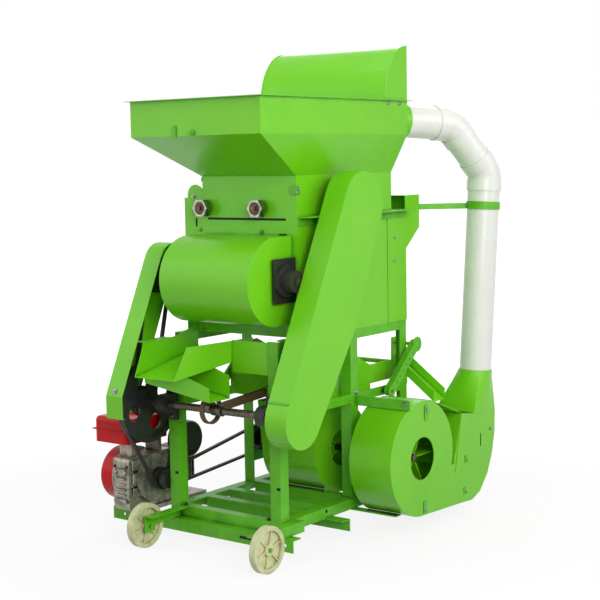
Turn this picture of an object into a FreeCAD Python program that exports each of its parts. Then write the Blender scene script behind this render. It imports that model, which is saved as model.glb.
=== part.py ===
import FreeCAD, Part
import math
import os
from FreeCAD import Vector

os.makedirs("parts", exist_ok=True)

# Groundnut sheller, in millimetres. X runs to the right as seen from the front, Y to the rear, Z up.
# Working zero: X at the frame's right side, Y at the body's front panel, Z at the floor.

# Steel stock
sheet = 2.0
plate = 4.0
through = 9.0
angle_leg = 35.0
post_leg = 40.0
angle_wall = 4.0
running_gap = 0.05
seat_gap = 0.3

# Frame
frame_width = 455.0
body_depth = 603.0
post_front_y = -108.0
rail_bottom_z = 72.0
foot_leg = 40.0
foot_front_y = -138.0
foot_rear_y = 162.0
foot_left_x = -690.0
foot_right_x = 66.0
foot_hole_r = 5.5
foot_hole_xs = (-640.0, 36.0)
mid_post_y = 270.0
body_bottom_z = 662.0
shelf_z = 1036.0
shelf_reach = 46.0
shelf_drop = 24.0
rear_strip_y = 490.0
front_left_cut_z = 380.0
cross_rail_ys = (28.0, 142.0, 281.0, 450.0)
fan_beam_top_z = 209.0
rocker_bar_height = 30.0

# Body, neck, hopper and hood
neck_width = 378.0
neck_depth = 520.0
band_top_z = 1097.0
neck_top_z = 1165.0
collar_bottom_z = 1290.0
rim_z = 1400.0
hopper_left_x = -445.0
hopper_right_x = 67.0
hopper_front_y = -252.0
rim_lip = 13.0
hood_front_y = 389.0
hood_top_z = 1576.0
panel_opening_x = (-365.0, -42.0)
panel_opening_z = (716.0, 974.0)
gate_z = 1161.0

# Upper and lower rotor
upper_axis_y = 182.0
upper_axis_z = 1073.0
upper_rotor_r = 85.0
upper_concave_r = 100.0
lower_axis_y = -60.0
lower_axis_z = 848.0
lower_rotor_r = 95.0
lower_concave_r = 108.0
rotor_shaft_r = 12.5
cover_r = 136.0
cover_axis_y = -86.0
cover_axis_z = 846.0
cover_x = (-373.0, -20.0)

# Bearing housings
bearing_height = 33.0
bearing_half_width = 19.0
bearing_foot_length = 110.0
bearing_foot_thick = 12.0
bearing_stem_width = 60.0
bearing_boss_r = 30.0
flange_bearing_r = 50.0
flange_bearing_thick = 14.0
flange_boss_r = 34.0
flange_boss_length = 36.0

# Countershaft, pulleys and belts
counter_y = -150.0
counter_z = 445.0
counter_shaft_r = 12.0
counter_bearing_xs = (-430.0, -22.0)
crank_y = -100.0
crank_z = 184.0
fan_y = 383.0
fan_z = 242.0
fan_shaft_r = 12.0
belt_width = 12.0
belt_thick = 8.0
groove_side_gap = 0.5
pulley_flange = 4.0
engine_belt_x = -505.0
lower_belt_x = -526.0
upper_belt_x = 85.0
fan_belt_x = -475.0
big_pulley_r = 132.0
crank_pulley_r = 37.0
crank_fan_pulley_r = 30.0
fan_pulley_r = 50.0
counter_lower_pulley_r = 50.0
lower_pulley_r = 58.0
counter_upper_pulley_r = 50.0
upper_pulley_r = 80.0

# Belt guards
right_guard_x = (46.0, 124.0)
right_guard_top_r = 102.0
right_guard_foot_r = 86.0
right_guard_knee = (122.0, 685.0)
left_guard_x = (-540.0, -470.0)
left_guard_r = 70.0
left_guard_top_y = -43.0
left_guard_top_z = 884.0
left_guard_foot_y = -303.0
left_guard_foot_z = 413.0
left_guard_bend_z = 485.0

# Engine
engine_base_x = (-640.0, -540.0)
engine_base_thick = 14.0
crankcase_x = (-618.0, -548.0)
crankcase_y = (-205.0, 12.0)
crankcase_top_z = 262.0
side_cover_r = 78.0
recoil_x = (-700.0, -640.0)
recoil_r = 90.0
tank_x = (-690.0, -540.0)
tank_y = (-215.0, -20.0)
tank_z = (308.0, 392.0)
tank_seam_reach = 4.0
muffler_x = (-544.0, -494.0)
muffler_y = 40.0
muffler_z = 290.0
muffler_r = 62.0

# Winnowing fan and blower
winnower_x = (-345.0, -120.0)
winnower_r = 150.0
winnower_inlet_r = 62.0
blower_x = (43.0, 200.0)
blower_r = 189.0
blower_inlet_r = 70.0

# Scoop behind the blower, its cone and its door plate
seam_top = (581.0, 186.0)
seam_low = (642.0, 42.0)
scoop_inlet = (629.0, 352.0)
scoop_shelf_y = 771.0
cone_y = (711.0, 861.0)
cone_base_z = 330.0
door_corners = ((587.0, 154.0), (640.0, 143.0), (771.0, 329.0), (629.0, 349.0))

# Delivery pipe
pipe_r = 55.0
pipe_wall = 3.2
pipe_foot = Vector(143.0, 826.0, 472.0)
pipe_heading = math.radians(24.8)
pipe_lean = math.radians(3.6)
pipe_rise = 690.0
pipe_slant = 217.0
elbow_turn = math.radians(45.0)
elbow_bend_r = 75.0
socket_length = 36.0
socket_wall = 4.0

# Shaking deck
deck_x = (-400.0, -55.0)
rear_pivot_y = 458.0
front_pivot_y = 60.0
lower_pivot_z = 437.0
pivot_rise = 140.0
pivot_run = 160.0
pivot_r = 6.0
rear_rocker_x = (14.0, 36.0)
eccentric_x = -237.0
eccentric_throw = 6.0
eccentric_r = 19.0
strap_inner_r = 39.0
strap_outer_r = 45.0

# Upper chute and discharge spout
chute_lip = (-300.0, 552.0)
chute_foot_z = 592.0
spout_x = (-421.0, -155.0)
spout_y = (-250.0, -154.0)
spout_z = (488.0, 528.0)

# Wheels
wheel_r = 71.0
wheel_width = 22.0
axle_r = 6.0
front_wheel_y = -252.0
rear_wheel_y = 753.0
right_front_wheel_x = 58.0
left_wheel_x = -436.0
right_rear_wheel_x = -36.0

left_x = -frame_width
neck_left_x = -neck_width
RIGHT = Vector(1, 0, 0)
BACK = Vector(0, 1, 0)
UP = Vector(0, 0, 1)

# Places worked out from the sizes above
hand_nut_xs = (-362.0, -137.0)
hand_nut_z = 1065.0
clamp_rod_r = 8.0
gate_y = (4.0, neck_depth - sheet - 4.0)
upper_bearing_xs = (-421.0, 25.0)
fan_bearing_xs = (left_x + 20.0, -20.0)
front_rocker_x = (-52.0, -44.0)
box_back_y = 694.0
chute_slope = (chute_foot_z - chute_lip[1]) / (post_front_y - chute_lip[0])
strap_z = 1043.0
pipe_out = Vector(math.sin(pipe_heading) * math.cos(pipe_lean), math.cos(pipe_heading) * math.cos(pipe_lean),
                  -math.sin(pipe_lean))
pipe_up = Vector(math.sin(pipe_heading) * math.sin(pipe_lean), math.cos(pipe_heading) * math.sin(pipe_lean),
                 math.cos(pipe_lean))
slant_down = (pipe_out - pipe_up)
slant_down.normalize()
lower_bend = pipe_foot + pipe_up * pipe_rise
upper_bend = lower_bend - slant_down * pipe_slant
wall_run = (upper_bend.y - neck_depth) / pipe_out.y
wall_point = upper_bend - pipe_out * wall_run


def block(x, y, z):
    return Part.makeBox(x[1] - x[0], y[1] - y[0], z[1] - z[0], Vector(x[0], y[0], z[0]))


def rod(x, y, z, r):
    return Part.makeCylinder(r, x[1] - x[0], Vector(x[0], y, z), RIGHT)


def tube(x, y, z, outer, inner):
    return rod(x, y, z, outer).cut(rod(x, y, z, inner))


def pipe_piece(start, direction, length, outer, inner):
    body = Part.makeCylinder(outer, length, start, direction)
    return body.cut(Part.makeCylinder(inner, length, start, direction))


def side_profile(points, x):
    corners = [Vector(x[0], p[0], p[1]) for p in points]
    return Part.Face(Part.makePolygon(corners + corners[:1])).extrude(Vector(x[1] - x[0], 0, 0))


def front_profile(points, y):
    corners = [Vector(p[0], y[0], p[1]) for p in points]
    return Part.Face(Part.makePolygon(corners + corners[:1])).extrude(Vector(0, y[1] - y[0], 0))


def fused(pieces):
    return pieces[0].multiFuse(pieces[1:]).removeSplitter()


def group(pieces):
    return Part.makeCompound(pieces)


def angle_bar(corner, leg_a, leg_b, run, leg):
    near_a = leg_a * angle_wall
    near_b = leg_b * angle_wall
    far_a = leg_a * leg
    far_b = leg_b * leg
    points = [corner, corner + far_a, corner + far_a + near_b, corner + near_a + near_b]
    points += [corner + near_a + far_b, corner + far_b]
    return Part.Face(Part.makePolygon(points + points[:1])).extrude(run)


def loop_face(x, first, first_r, second, second_r):
    # Outline around two circles joined by their outer tangents, in the YZ plane at x
    run_y = second[0] - first[0]
    run_z = second[1] - first[1]
    span = math.hypot(run_y, run_z)
    heading = math.atan2(run_z, run_y)
    spread = math.acos((first_r - second_r) / span)

    def on(centre, r, turn):
        return Vector(x, centre[0] + r * math.cos(turn), centre[1] + r * math.sin(turn))

    a = on(first, first_r, heading + spread)
    b = on(second, second_r, heading + spread)
    c = on(second, second_r, heading - spread)
    d = on(first, first_r, heading - spread)
    edges = [
        Part.LineSegment(a, b).toShape(),
        Part.Arc(b, on(second, second_r, heading), c).toShape(),
        Part.LineSegment(c, d).toShape(),
        Part.Arc(d, on(first, first_r, heading + math.pi), a).toShape(),
    ]
    return Part.Face(Part.Wire(edges))


def loop_body(x, first, first_r, second, second_r):
    return loop_face(x[0], first, first_r, second, second_r).extrude(Vector(x[1] - x[0], 0, 0))


def belt(centre_x, first, first_r, second, second_r):
    x = (centre_x - belt_width / 2, centre_x + belt_width / 2)
    depth = belt_thick - seat_gap
    outer = loop_body(x, first, first_r, second, second_r)
    return outer.cut(loop_body(x, first, first_r - depth, second, second_r - depth))


def pulley(centre_x, y, z, r, bore_r, web_holes):
    # With web holes the pulley has a hub, a thin web and a rim
    half = belt_width / 2 + groove_side_gap
    groove_r = r - belt_thick
    x = (centre_x - half - pulley_flange, centre_x + half + pulley_flange)
    groove = tube((centre_x - half, centre_x + half), y, z, r + 1, groove_r)
    body = rod(x, y, z, r).cut(groove).cut(rod(x, y, z, bore_r))
    if web_holes:
        hub_r = 2.4 * bore_r
        rim_r = groove_r - 8
        web_half = 5.0
        first_turn = 0.4
        for side in ((x[0], centre_x - web_half), (centre_x + web_half, x[1])):
            body = body.cut(tube(side, y, z, rim_r, hub_r))
        reach = (hub_r + rim_r) / 2
        hole_r = (rim_r - hub_r) * 0.3
        for index in range(web_holes):
            angle = 2 * math.pi * index / web_holes + first_turn
            body = body.cut(rod(x, y + reach * math.cos(angle), z + reach * math.sin(angle), hole_r))
    return body


def pillow_block(centre, up, height, bore_r):
    # Housing on a flat foot: up points from the foot to the shaft, which lies along X
    half = bearing_half_width
    side = RIGHT.cross(up)
    base = centre - up * height - RIGHT * half

    def slab(width, rise):
        corner = base - side * width / 2
        points = [corner, corner + side * width, corner + side * width + up * rise, corner + up * rise, corner]
        return Part.Face(Part.makePolygon(points)).extrude(RIGHT * 2 * half)

    boss = Part.makeCylinder(bearing_boss_r, 2 * half, centre - RIGHT * half, RIGHT)
    body = fused([slab(bearing_foot_length, bearing_foot_thick), slab(bearing_stem_width, height), boss])
    return body.cut(Part.makeCylinder(bore_r, 2 * half, centre - RIGHT * half, RIGHT))


def rotor(x, y, z, r, shaft_x, bars):
    # Welded rotor: shaft, three notched spider discs with hubs, and a ring of round beater bars
    bar_r = 9.0
    disc_thick = 8.0
    disc_r = r - bar_r - 5.0
    hub_r = 24.0
    hub_reach = 6.0
    places = []
    for turn in range(bars):
        angle = 2 * math.pi * turn / bars
        places.append((y + (r - bar_r) * math.cos(angle), z + (r - bar_r) * math.sin(angle)))
    pieces = [rod(shaft_x, y, z, rotor_shaft_r)]
    for centre in (x[0] + disc_thick / 2, (x[0] + x[1]) / 2, x[1] - disc_thick / 2):
        span = (centre - disc_thick / 2, centre + disc_thick / 2)
        hub_x = (max(span[0] - hub_reach, x[0]), span[1])
        spider = fused([rod(span, y, z, disc_r), rod(hub_x, y, z, hub_r)])
        spider = spider.cut(rod(hub_x, y, z, rotor_shaft_r + running_gap))
        for place in places:
            spider = spider.cut(rod(span, place[0], place[1], bar_r + running_gap))
        pieces.append(spider)
    for place in places:
        pieces.append(rod(x, place[0], place[1], bar_r))
    return group(pieces)


def concave(x, y, z, r, first_deg, last_deg, rib_depth, segments):
    # Grate round a rotor, bolted up from curved segments: three ribs each, joined by bars along X
    rib = 8.0
    bar_height = 8.0
    bar_thick = 4.0
    bars = 3
    step_deg = (last_deg - first_deg) / segments
    bar_y = (y + r + 1, y + r + 1 + bar_height)
    far = 2 * r
    pieces = []
    for index in range(segments):
        start_deg = first_deg + index * step_deg
        wedge_points = [(y, z)]
        for share in (0, 1):
            angle = math.radians(start_deg + share * step_deg)
            wedge_points.append((y + far * math.cos(angle), z + far * math.sin(angle)))
        parts = []
        for low in (x[0], (x[0] + x[1] - rib) / 2, x[1] - rib):
            ring = tube((low, low + rib), y, z, r + rib_depth, r)
            parts.append(ring.common(side_profile(wedge_points, (low, low + rib))))
        for place in range(bars):
            bar = block(x, bar_y, (z - bar_thick / 2, z + bar_thick / 2))
            bar.rotate(Vector(0, y, z), RIGHT, start_deg + step_deg * (place + 0.5) / bars)
            parts.append(bar)
        pieces.append(fused(parts))
    return group(pieces)


def make_foot_rails():
    run = Vector(foot_right_x - foot_left_x, 0, 0)
    front = angle_bar(Vector(foot_left_x, foot_front_y, rail_bottom_z), BACK, -UP, run, foot_leg)
    rear = angle_bar(Vector(foot_left_x, foot_rear_y, rail_bottom_z), -BACK, -UP, run, foot_leg)
    for x in foot_hole_xs:
        start = Vector(x, foot_front_y - 1, rail_bottom_z - foot_leg / 2)
        front = front.cut(Part.makeCylinder(foot_hole_r, 2 * angle_wall, start, BACK))
    return group([front, rear])


def make_base_rails():
    top_z = rail_bottom_z + angle_leg
    run_y = Vector(0, body_depth - post_front_y - angle_wall, 0)
    run_x = Vector(frame_width - 2 * angle_leg, 0, 0)
    first_y = post_front_y + angle_wall
    rails = [
        angle_bar(Vector(0, first_y, top_z), -RIGHT, -UP, run_y, angle_leg),
        angle_bar(Vector(left_x, first_y, top_z), RIGHT, -UP, run_y, angle_leg),
        angle_bar(Vector(left_x + angle_leg, first_y, top_z), BACK, -UP, run_x, angle_leg),
        angle_bar(Vector(left_x + angle_leg, body_depth, top_z), -BACK, -UP, run_x, angle_leg),
    ]
    for y in cross_rail_ys:
        rails.append(angle_bar(Vector(left_x + angle_leg, y, top_z), BACK, -UP, run_x, angle_leg))
    return group(rails)


def make_posts():
    base_z = rail_bottom_z + angle_leg
    short = Vector(0, 0, body_bottom_z - base_z)
    tall = Vector(0, 0, shelf_z - base_z)
    tongue_z = (rail_bottom_z, base_z)
    tongue_y = (post_front_y, post_front_y + angle_wall)
    front_right = fused([
        angle_bar(Vector(0, post_front_y, base_z), -RIGHT, BACK, short + UP * angle_wall, post_leg),
        block((-post_leg, 0), tongue_y, tongue_z),
    ])
    inner_x = left_x + post_leg
    front_left = fused([
        angle_bar(Vector(inner_x, post_front_y, base_z), -RIGHT, BACK,
                  Vector(0, 0, front_left_cut_z - base_z), post_leg),
        block((inner_x - angle_wall, inner_x), (post_front_y + angle_wall, post_front_y + post_leg),
              (base_z, body_bottom_z)),
        block((left_x, inner_x), tongue_y, tongue_z),
    ])
    return group([
        front_right,
        front_left,
        angle_bar(Vector(0, mid_post_y, base_z), -RIGHT, BACK, short, post_leg),
        angle_bar(Vector(left_x, mid_post_y, base_z), RIGHT, BACK, short, post_leg),
        angle_bar(Vector(0, body_depth, base_z), -RIGHT, -BACK, tall, post_leg),
        angle_bar(Vector(left_x, body_depth, base_z), RIGHT, -BACK, tall, post_leg),
    ])


def make_upper_members():
    top_z = body_bottom_z + angle_wall
    front_y = post_front_y + post_leg
    rear_y = mid_post_y + post_leg
    pieces = []
    for x, inward in ((0.0, -RIGHT), (left_x, RIGHT)):
        first = Vector(x, front_y, top_z)
        pieces.append(angle_bar(first, inward, -UP, Vector(0, mid_post_y - front_y, 0), angle_leg))
        second = Vector(x, rear_y, top_z)
        run = Vector(0, body_depth - post_leg - rear_y, 0)
        pieces.append(angle_bar(second, inward, -UP, run, angle_leg))
        corner = Vector(x, 0, top_z)
        pieces.append(angle_bar(corner, inward, BACK, Vector(0, 0, shelf_z - top_z), post_leg))
        beam = Vector(x, rear_y, fan_beam_top_z)
        pieces.append(angle_bar(beam, inward, -UP, run, post_leg))
        bar_x = sorted((x, x + inward.x * angle_wall))
        bar_z = (lower_pivot_z - rocker_bar_height / 2, lower_pivot_z + rocker_bar_height / 2)
        pieces.append(block(bar_x, (rear_y, body_depth - post_leg), bar_z))
        pieces.append(block(bar_x, (front_y, mid_post_y), bar_z))
    return group(pieces)


def make_side_panels():
    z = (body_bottom_z, shelf_z)
    right = block((0, sheet), (0, body_depth), z)
    left = block((left_x - sheet, left_x), (0, body_depth), z)
    partition = block((neck_left_x, neck_left_x + sheet), (0, body_depth), z)
    back = block((left_x - sheet, sheet), (body_depth, body_depth + sheet), z)
    box_mouth_x = (left_x + 60, -60)
    box_mouth_z = (shelf_z - 116, shelf_z - 16)
    back = back.cut(block(box_mouth_x, (body_depth - 1, body_depth + through), box_mouth_z))
    strip = block((sheet, 2 * sheet), (rear_strip_y, body_depth), (z[0], shelf_z - shelf_drop))
    return group([right, left, partition, back, strip])


def make_front_panel():
    body = block((left_x - sheet, sheet), (-sheet, 0), (body_bottom_z + angle_wall, shelf_z))
    return body.cut(block(panel_opening_x, (-through, through), panel_opening_z))


def make_bearing_shelf():
    shelf_top = shelf_z + angle_wall
    right = fused([
        block((-angle_wall, shelf_reach), (0, body_depth), (shelf_z, shelf_top)),
        block((sheet, sheet + angle_wall), (0, body_depth), (shelf_z - shelf_drop, shelf_z)),
    ])
    left = block((left_x - sheet, neck_left_x + angle_wall), (0, body_depth), (shelf_z, shelf_top))
    rear = block((neck_left_x + angle_wall, -angle_wall), (neck_depth - sheet, body_depth), (shelf_z, shelf_top))
    return group([right, left, rear])


def make_feed_box():
    # Band between body and neck, with a rounded ear at its left end
    low = shelf_z + angle_wall
    outer = block((neck_left_x, 0), (-sheet, neck_depth), (low, band_top_z))
    inner = block((neck_left_x + sheet, -sheet), (0, neck_depth - sheet), (low - 1, band_top_z + 1))
    front = block((left_x - sheet, sheet), (-sheet, 0), (shelf_z, band_top_z))
    ear_r = 33.0
    ear_x = neck_left_x - ear_r
    ear_z = band_top_z + 9
    ear = fused([
        block((ear_x - ear_r, ear_x + ear_r), (0, plate), (low, ear_z)),
        Part.makeCylinder(ear_r, plate, Vector(ear_x, 0, ear_z), BACK),
    ])
    body = fused([outer.cut(inner), front, ear])
    shaft_r = rotor_shaft_r + 2
    body = body.cut(rod((neck_left_x - through, through), upper_axis_y, upper_axis_z, shaft_r))
    for x in hand_nut_xs:
        start = Vector(x, -through, hand_nut_z)
        body = body.cut(Part.makeCylinder(clamp_rod_r + running_gap, 2 * through, start, BACK))
    return body


def frustum(low_x, low_y, low_z, high_x, high_y, high_z):
    wires = []
    for x, y, z in ((low_x, low_y, low_z), (high_x, high_y, high_z)):
        corners = [Vector(x[0], y[0], z), Vector(x[1], y[0], z), Vector(x[1], y[1], z), Vector(x[0], y[1], z)]
        wires.append(Part.makePolygon(corners + corners[:1]))
    return Part.makeLoft(wires, True, True)


def sloping_wall(low_x, low_y, high_x, high_y):
    return frustum(low_x, low_y, neck_top_z, high_x, high_y, collar_bottom_z)


def hopper_walls():
    # Welded plates: four round the neck, three sloping ones, three round the rim, and one flat back
    neck_x = (neck_left_x, 0)
    neck_z = (band_top_z, neck_top_z)
    collar_z = (collar_bottom_z, rim_z)
    back_y = (neck_depth - sheet, neck_depth)
    inner_y = (0, back_y[0])
    slot_y = (gate_y[0] - seat_gap, gate_y[1] + seat_gap)
    slot_z = (gate_z - seat_gap, gate_z + sheet + seat_gap)
    slope = (collar_bottom_z - neck_top_z) / (-sheet - hopper_front_y)
    front_thick = sheet * math.hypot(1, slope) / slope
    low_front_y = (-sheet, -sheet + front_thick)
    high_front_y = (hopper_front_y, hopper_front_y + front_thick)
    low_side_y = (low_front_y[1], back_y[0])
    high_side_y = (high_front_y[1], back_y[0])
    rim_side_y = (hopper_front_y + sheet, back_y[0])
    left_neck = block((neck_left_x, neck_left_x + sheet), inner_y, neck_z)
    back = front_profile([(neck_x[0], neck_top_z), (neck_x[1], neck_top_z), (hopper_right_x, collar_bottom_z),
                          (hopper_right_x, rim_z), (hopper_left_x, rim_z), (hopper_left_x, collar_bottom_z)], back_y)
    hole_start = wall_point - pipe_out * pipe_r
    left = (neck_left_x, neck_left_x + sheet)
    right = (-sheet, 0)
    high_left = (hopper_left_x, hopper_left_x + sheet)
    high_right = (hopper_right_x - sheet, hopper_right_x)
    return [
        block(neck_x, (-sheet, 0), neck_z),
        block(neck_x, back_y, neck_z),
        block(right, inner_y, neck_z),
        left_neck.cut(block((neck_left_x - through, neck_left_x + through), slot_y, slot_z)),
        sloping_wall(neck_x, low_front_y, (hopper_left_x, hopper_right_x), high_front_y),
        sloping_wall(left, low_side_y, high_left, high_side_y),
        sloping_wall(right, low_side_y, high_right, high_side_y),
        block((hopper_left_x, hopper_right_x), (hopper_front_y, hopper_front_y + sheet), collar_z),
        block(high_left, rim_side_y, collar_z),
        block(high_right, rim_side_y, collar_z),
        back.cut(Part.makeCylinder(pipe_r + running_gap, 2 * pipe_r, hole_start, pipe_out)),
    ]


def make_hopper():
    lip_x = (hopper_left_x - rim_lip, hopper_right_x + rim_lip)
    lip_z = (rim_z - sheet, rim_z)
    rim_y = (hopper_front_y, neck_depth)
    lips = [
        block(lip_x, (rim_y[0] - rim_lip, rim_y[0]), lip_z),
        block(lip_x, (rim_y[1], rim_y[1] + rim_lip), lip_z),
        block((lip_x[0], hopper_left_x), rim_y, lip_z),
        block((hopper_right_x, lip_x[1]), rim_y, lip_z),
    ]
    runner_depth = 8.0
    runner_x = (neck_left_x + sheet, -sheet)
    runner_z = (gate_z - seat_gap - sheet, gate_z - seat_gap)
    runners = [
        block(runner_x, (0, runner_depth), runner_z),
        block(runner_x, (neck_depth - sheet - runner_depth, neck_depth - sheet), runner_z),
    ]
    collar_reach = 50.0
    collar_wall = 3.0
    collar_start = wall_point - pipe_out * pipe_r
    collar = pipe_piece(collar_start, pipe_out, collar_reach + pipe_r, pipe_r + collar_wall, pipe_r + running_gap)
    behind = block((hopper_left_x, hopper_right_x + collar_reach), (neck_depth, neck_depth + 4 * collar_reach),
                   (neck_top_z, rim_z - sheet))
    return group(hopper_walls() + lips + runners + [collar.common(behind)])


def make_feed_gate():
    reach = 8.0
    end_gap = 6.0
    pull_drop = 12.0
    slide = block((neck_left_x - reach, -end_gap), gate_y, (gate_z, gate_z + sheet))
    pull = block((neck_left_x - reach - sheet, neck_left_x - reach), gate_y, (gate_z - pull_drop, gate_z + sheet))
    return fused([slide, pull])


def hood_solid(inset):
    # Quarter of an ellipse, curved to the front, with a flat back
    depth = neck_depth - hood_front_y - 2 * inset
    height = hood_top_z - rim_z - inset
    back_y = neck_depth - inset
    steps = 14
    points = [(back_y, rim_z)]
    for index in range(steps + 1):
        turn = math.pi / 2 * index / steps
        points.append((back_y - depth * math.sin(turn), rim_z + height * math.cos(turn)))
    return side_profile(points, (hopper_left_x + inset, hopper_right_x - inset))


def make_hood():
    return hood_solid(0).cut(hood_solid(sheet))


def make_rotor_cover():
    def solid(inset):
        flat_y = -sheet
        ends = (cover_x[0] + inset, cover_x[1] - inset)
        r = cover_r - inset
        round_part = rod(ends, cover_axis_y, cover_axis_z, r)
        flat_part = block(ends, (cover_axis_y, flat_y), (cover_axis_z - r, cover_axis_z + r))
        keep = block(ends, (cover_axis_y - 2 * r, flat_y), (cover_axis_z - 2 * r, cover_axis_z + 2 * r))
        return fused([round_part, flat_part]).common(keep)

    body = solid(0).cut(solid(sheet))
    mouth_x = (panel_opening_x[0] + 1, panel_opening_x[1] - 1)
    mouth_z = (panel_opening_z[0] + sheet * 2, panel_opening_z[1] - sheet * 2)
    body = body.cut(block(mouth_x, (-sheet - through, 0), mouth_z))
    ends = (cover_x[0] - through, cover_x[1] + through)
    return body.cut(rod(ends, lower_axis_y, lower_axis_z, rotor_shaft_r + 2))


def make_rotor_bearings():
    # Upright bracket beside each end of the cover, carrying a flanged bearing
    bracket_y = (-110.0, -sheet)
    bracket_z = (780.0, 916.0)
    pieces = []
    for near, outward in ((cover_x[1] + 8, 1), (cover_x[0] - 11, -1)):
        far = near + outward * plate
        bracket = block(sorted((near, far)), bracket_y, bracket_z)
        bracket = bracket.cut(rod(sorted((near, far)), lower_axis_y, lower_axis_z, rotor_shaft_r + 2))
        pieces.append(bracket)
        face = far + outward * flange_bearing_thick
        end = face + outward * flange_boss_length
        housing = fused([
            rod(sorted((far, face)), lower_axis_y, lower_axis_z, flange_bearing_r),
            rod(sorted((face, end)), lower_axis_y, lower_axis_z, flange_boss_r),
        ])
        bore = rod(sorted((far, end)), lower_axis_y, lower_axis_z, rotor_shaft_r + running_gap)
        pieces.append(housing.cut(bore))
    return group(pieces)


def make_pillow_blocks():
    blocks = []
    for x in upper_bearing_xs:
        centre = Vector(x, upper_axis_y, upper_axis_z)
        blocks.append(pillow_block(centre, UP, bearing_height, rotor_shaft_r + running_gap))
    for x in counter_bearing_xs:
        centre = Vector(x, counter_y, counter_z)
        blocks.append(pillow_block(centre, -BACK, post_front_y - counter_y, counter_shaft_r + running_gap))
    for x in fan_bearing_xs:
        centre = Vector(x, fan_y, fan_z)
        blocks.append(pillow_block(centre, UP, bearing_height, fan_shaft_r + running_gap))
    return group(blocks)


def tangent_point(centre, r, outside, side):
    # Where the line from an outside point touches a circle, on the circle's left (1) or right (-1) as seen from there
    away = math.atan2(outside[1] - centre[1], outside[0] - centre[0])
    distance = math.hypot(outside[0] - centre[0], outside[1] - centre[1])
    turn = away + side * math.acos(r / distance)
    return (centre[0] + r * math.cos(turn), centre[1] + r * math.sin(turn))


def right_guard_solid(x, inset):
    # Two round ends joined by a straight front edge and a rear edge with a knee
    top = (upper_axis_y, upper_axis_z)
    foot = (counter_y, counter_z)
    top_r = right_guard_top_r - inset
    foot_r = right_guard_foot_r - inset
    knee = (right_guard_knee[0] - inset * 0.86, right_guard_knee[1] + inset * 0.51)
    wedge = side_profile([top, tangent_point(top, top_r, knee, 1), knee,
                          tangent_point(foot, foot_r, knee, -1), foot], x)
    return fused([loop_body(x, top, top_r, foot, foot_r), wedge])


def make_right_guard():
    rim_x = (right_guard_x[0], right_guard_x[1] - sheet)
    rim = right_guard_solid(rim_x, 0).cut(right_guard_solid(rim_x, sheet))
    return group([rim, right_guard_solid((rim_x[1], right_guard_x[1]), 0)])


def left_guard_front_y(z):
    first = left_guard_outline(0)[1]
    second = left_guard_outline(0)[2]
    return first[0] + (z - first[1]) * (second[0] - first[0]) / (second[1] - first[1])


def left_guard_outline(inset):
    # Front edge leans back from its foot, round top, rear edge parallel to the front edge
    lean = math.atan2(left_guard_top_y - left_guard_foot_y - left_guard_r * 0.91,
                      left_guard_top_z - left_guard_bend_z + left_guard_r * 0.42)
    r = left_guard_r - inset
    along = (math.sin(lean), math.cos(lean))
    across = (-math.cos(lean), math.sin(lean))
    steps = 12
    points = [(left_guard_foot_y + inset, left_guard_foot_z + inset)]
    points.append((left_guard_foot_y + inset, left_guard_bend_z))
    for index in range(steps + 1):
        turn = math.pi * index / steps
        reach_across = r * math.cos(turn)
        reach_along = r * math.sin(turn)
        points.append((left_guard_top_y + across[0] * reach_across + along[0] * reach_along,
                       left_guard_top_z + across[1] * reach_across + along[1] * reach_along))
    points.append((left_guard_foot_y + 123 - inset, left_guard_foot_z + inset))
    return points


def make_left_guard():
    outer = side_profile(left_guard_outline(0), left_guard_x)
    inner = side_profile(left_guard_outline(sheet), (left_guard_x[0] + sheet, left_guard_x[1] + 1))
    body = outer.cut(inner)
    # The rear wall stops above the large pulley, which hangs out below the guard
    high_z = lower_axis_z - lower_pulley_r
    low_z = left_guard_foot_z - 1
    gap = [(left_guard_foot_y + 10, low_z), (left_guard_foot_y + 10, left_guard_bend_z),
           (left_guard_front_y(high_z) + 10, high_z), (100, high_z), (100, low_z)]
    return body.cut(side_profile(gap, (left_guard_x[0] + sheet, left_guard_x[1] + 1)))


def make_guard_stays():
    plate_width = 62.0
    plate_top_z = 504.0
    arm_z = 650.0
    lug_z = (480.0, 510.0)
    bearing_plate = block((left_x, left_x + plate_width), (post_front_y, post_front_y + plate),
                          (front_left_cut_z, plate_top_z))
    guard_arm = block((left_guard_x[1], left_x + post_leg - angle_wall),
                      (left_guard_front_y(arm_z), post_front_y + angle_wall), (arm_z, arm_z + plate))
    right_lug = block((0, right_guard_x[0]), (post_front_y, post_front_y + plate), lug_z)
    return [bearing_plate, guard_arm, right_lug]


def make_belts():
    return group([
        belt(engine_belt_x, (counter_y, counter_z), big_pulley_r, (crank_y, crank_z), crank_pulley_r),
        belt(lower_belt_x, (counter_y, counter_z), counter_lower_pulley_r,
             (lower_axis_y, lower_axis_z), lower_pulley_r),
        belt(upper_belt_x, (counter_y, counter_z), counter_upper_pulley_r,
             (upper_axis_y, upper_axis_z), upper_pulley_r),
        belt(fan_belt_x, (crank_y, crank_z), crank_fan_pulley_r, (fan_y, fan_z), fan_pulley_r),
    ])


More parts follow.
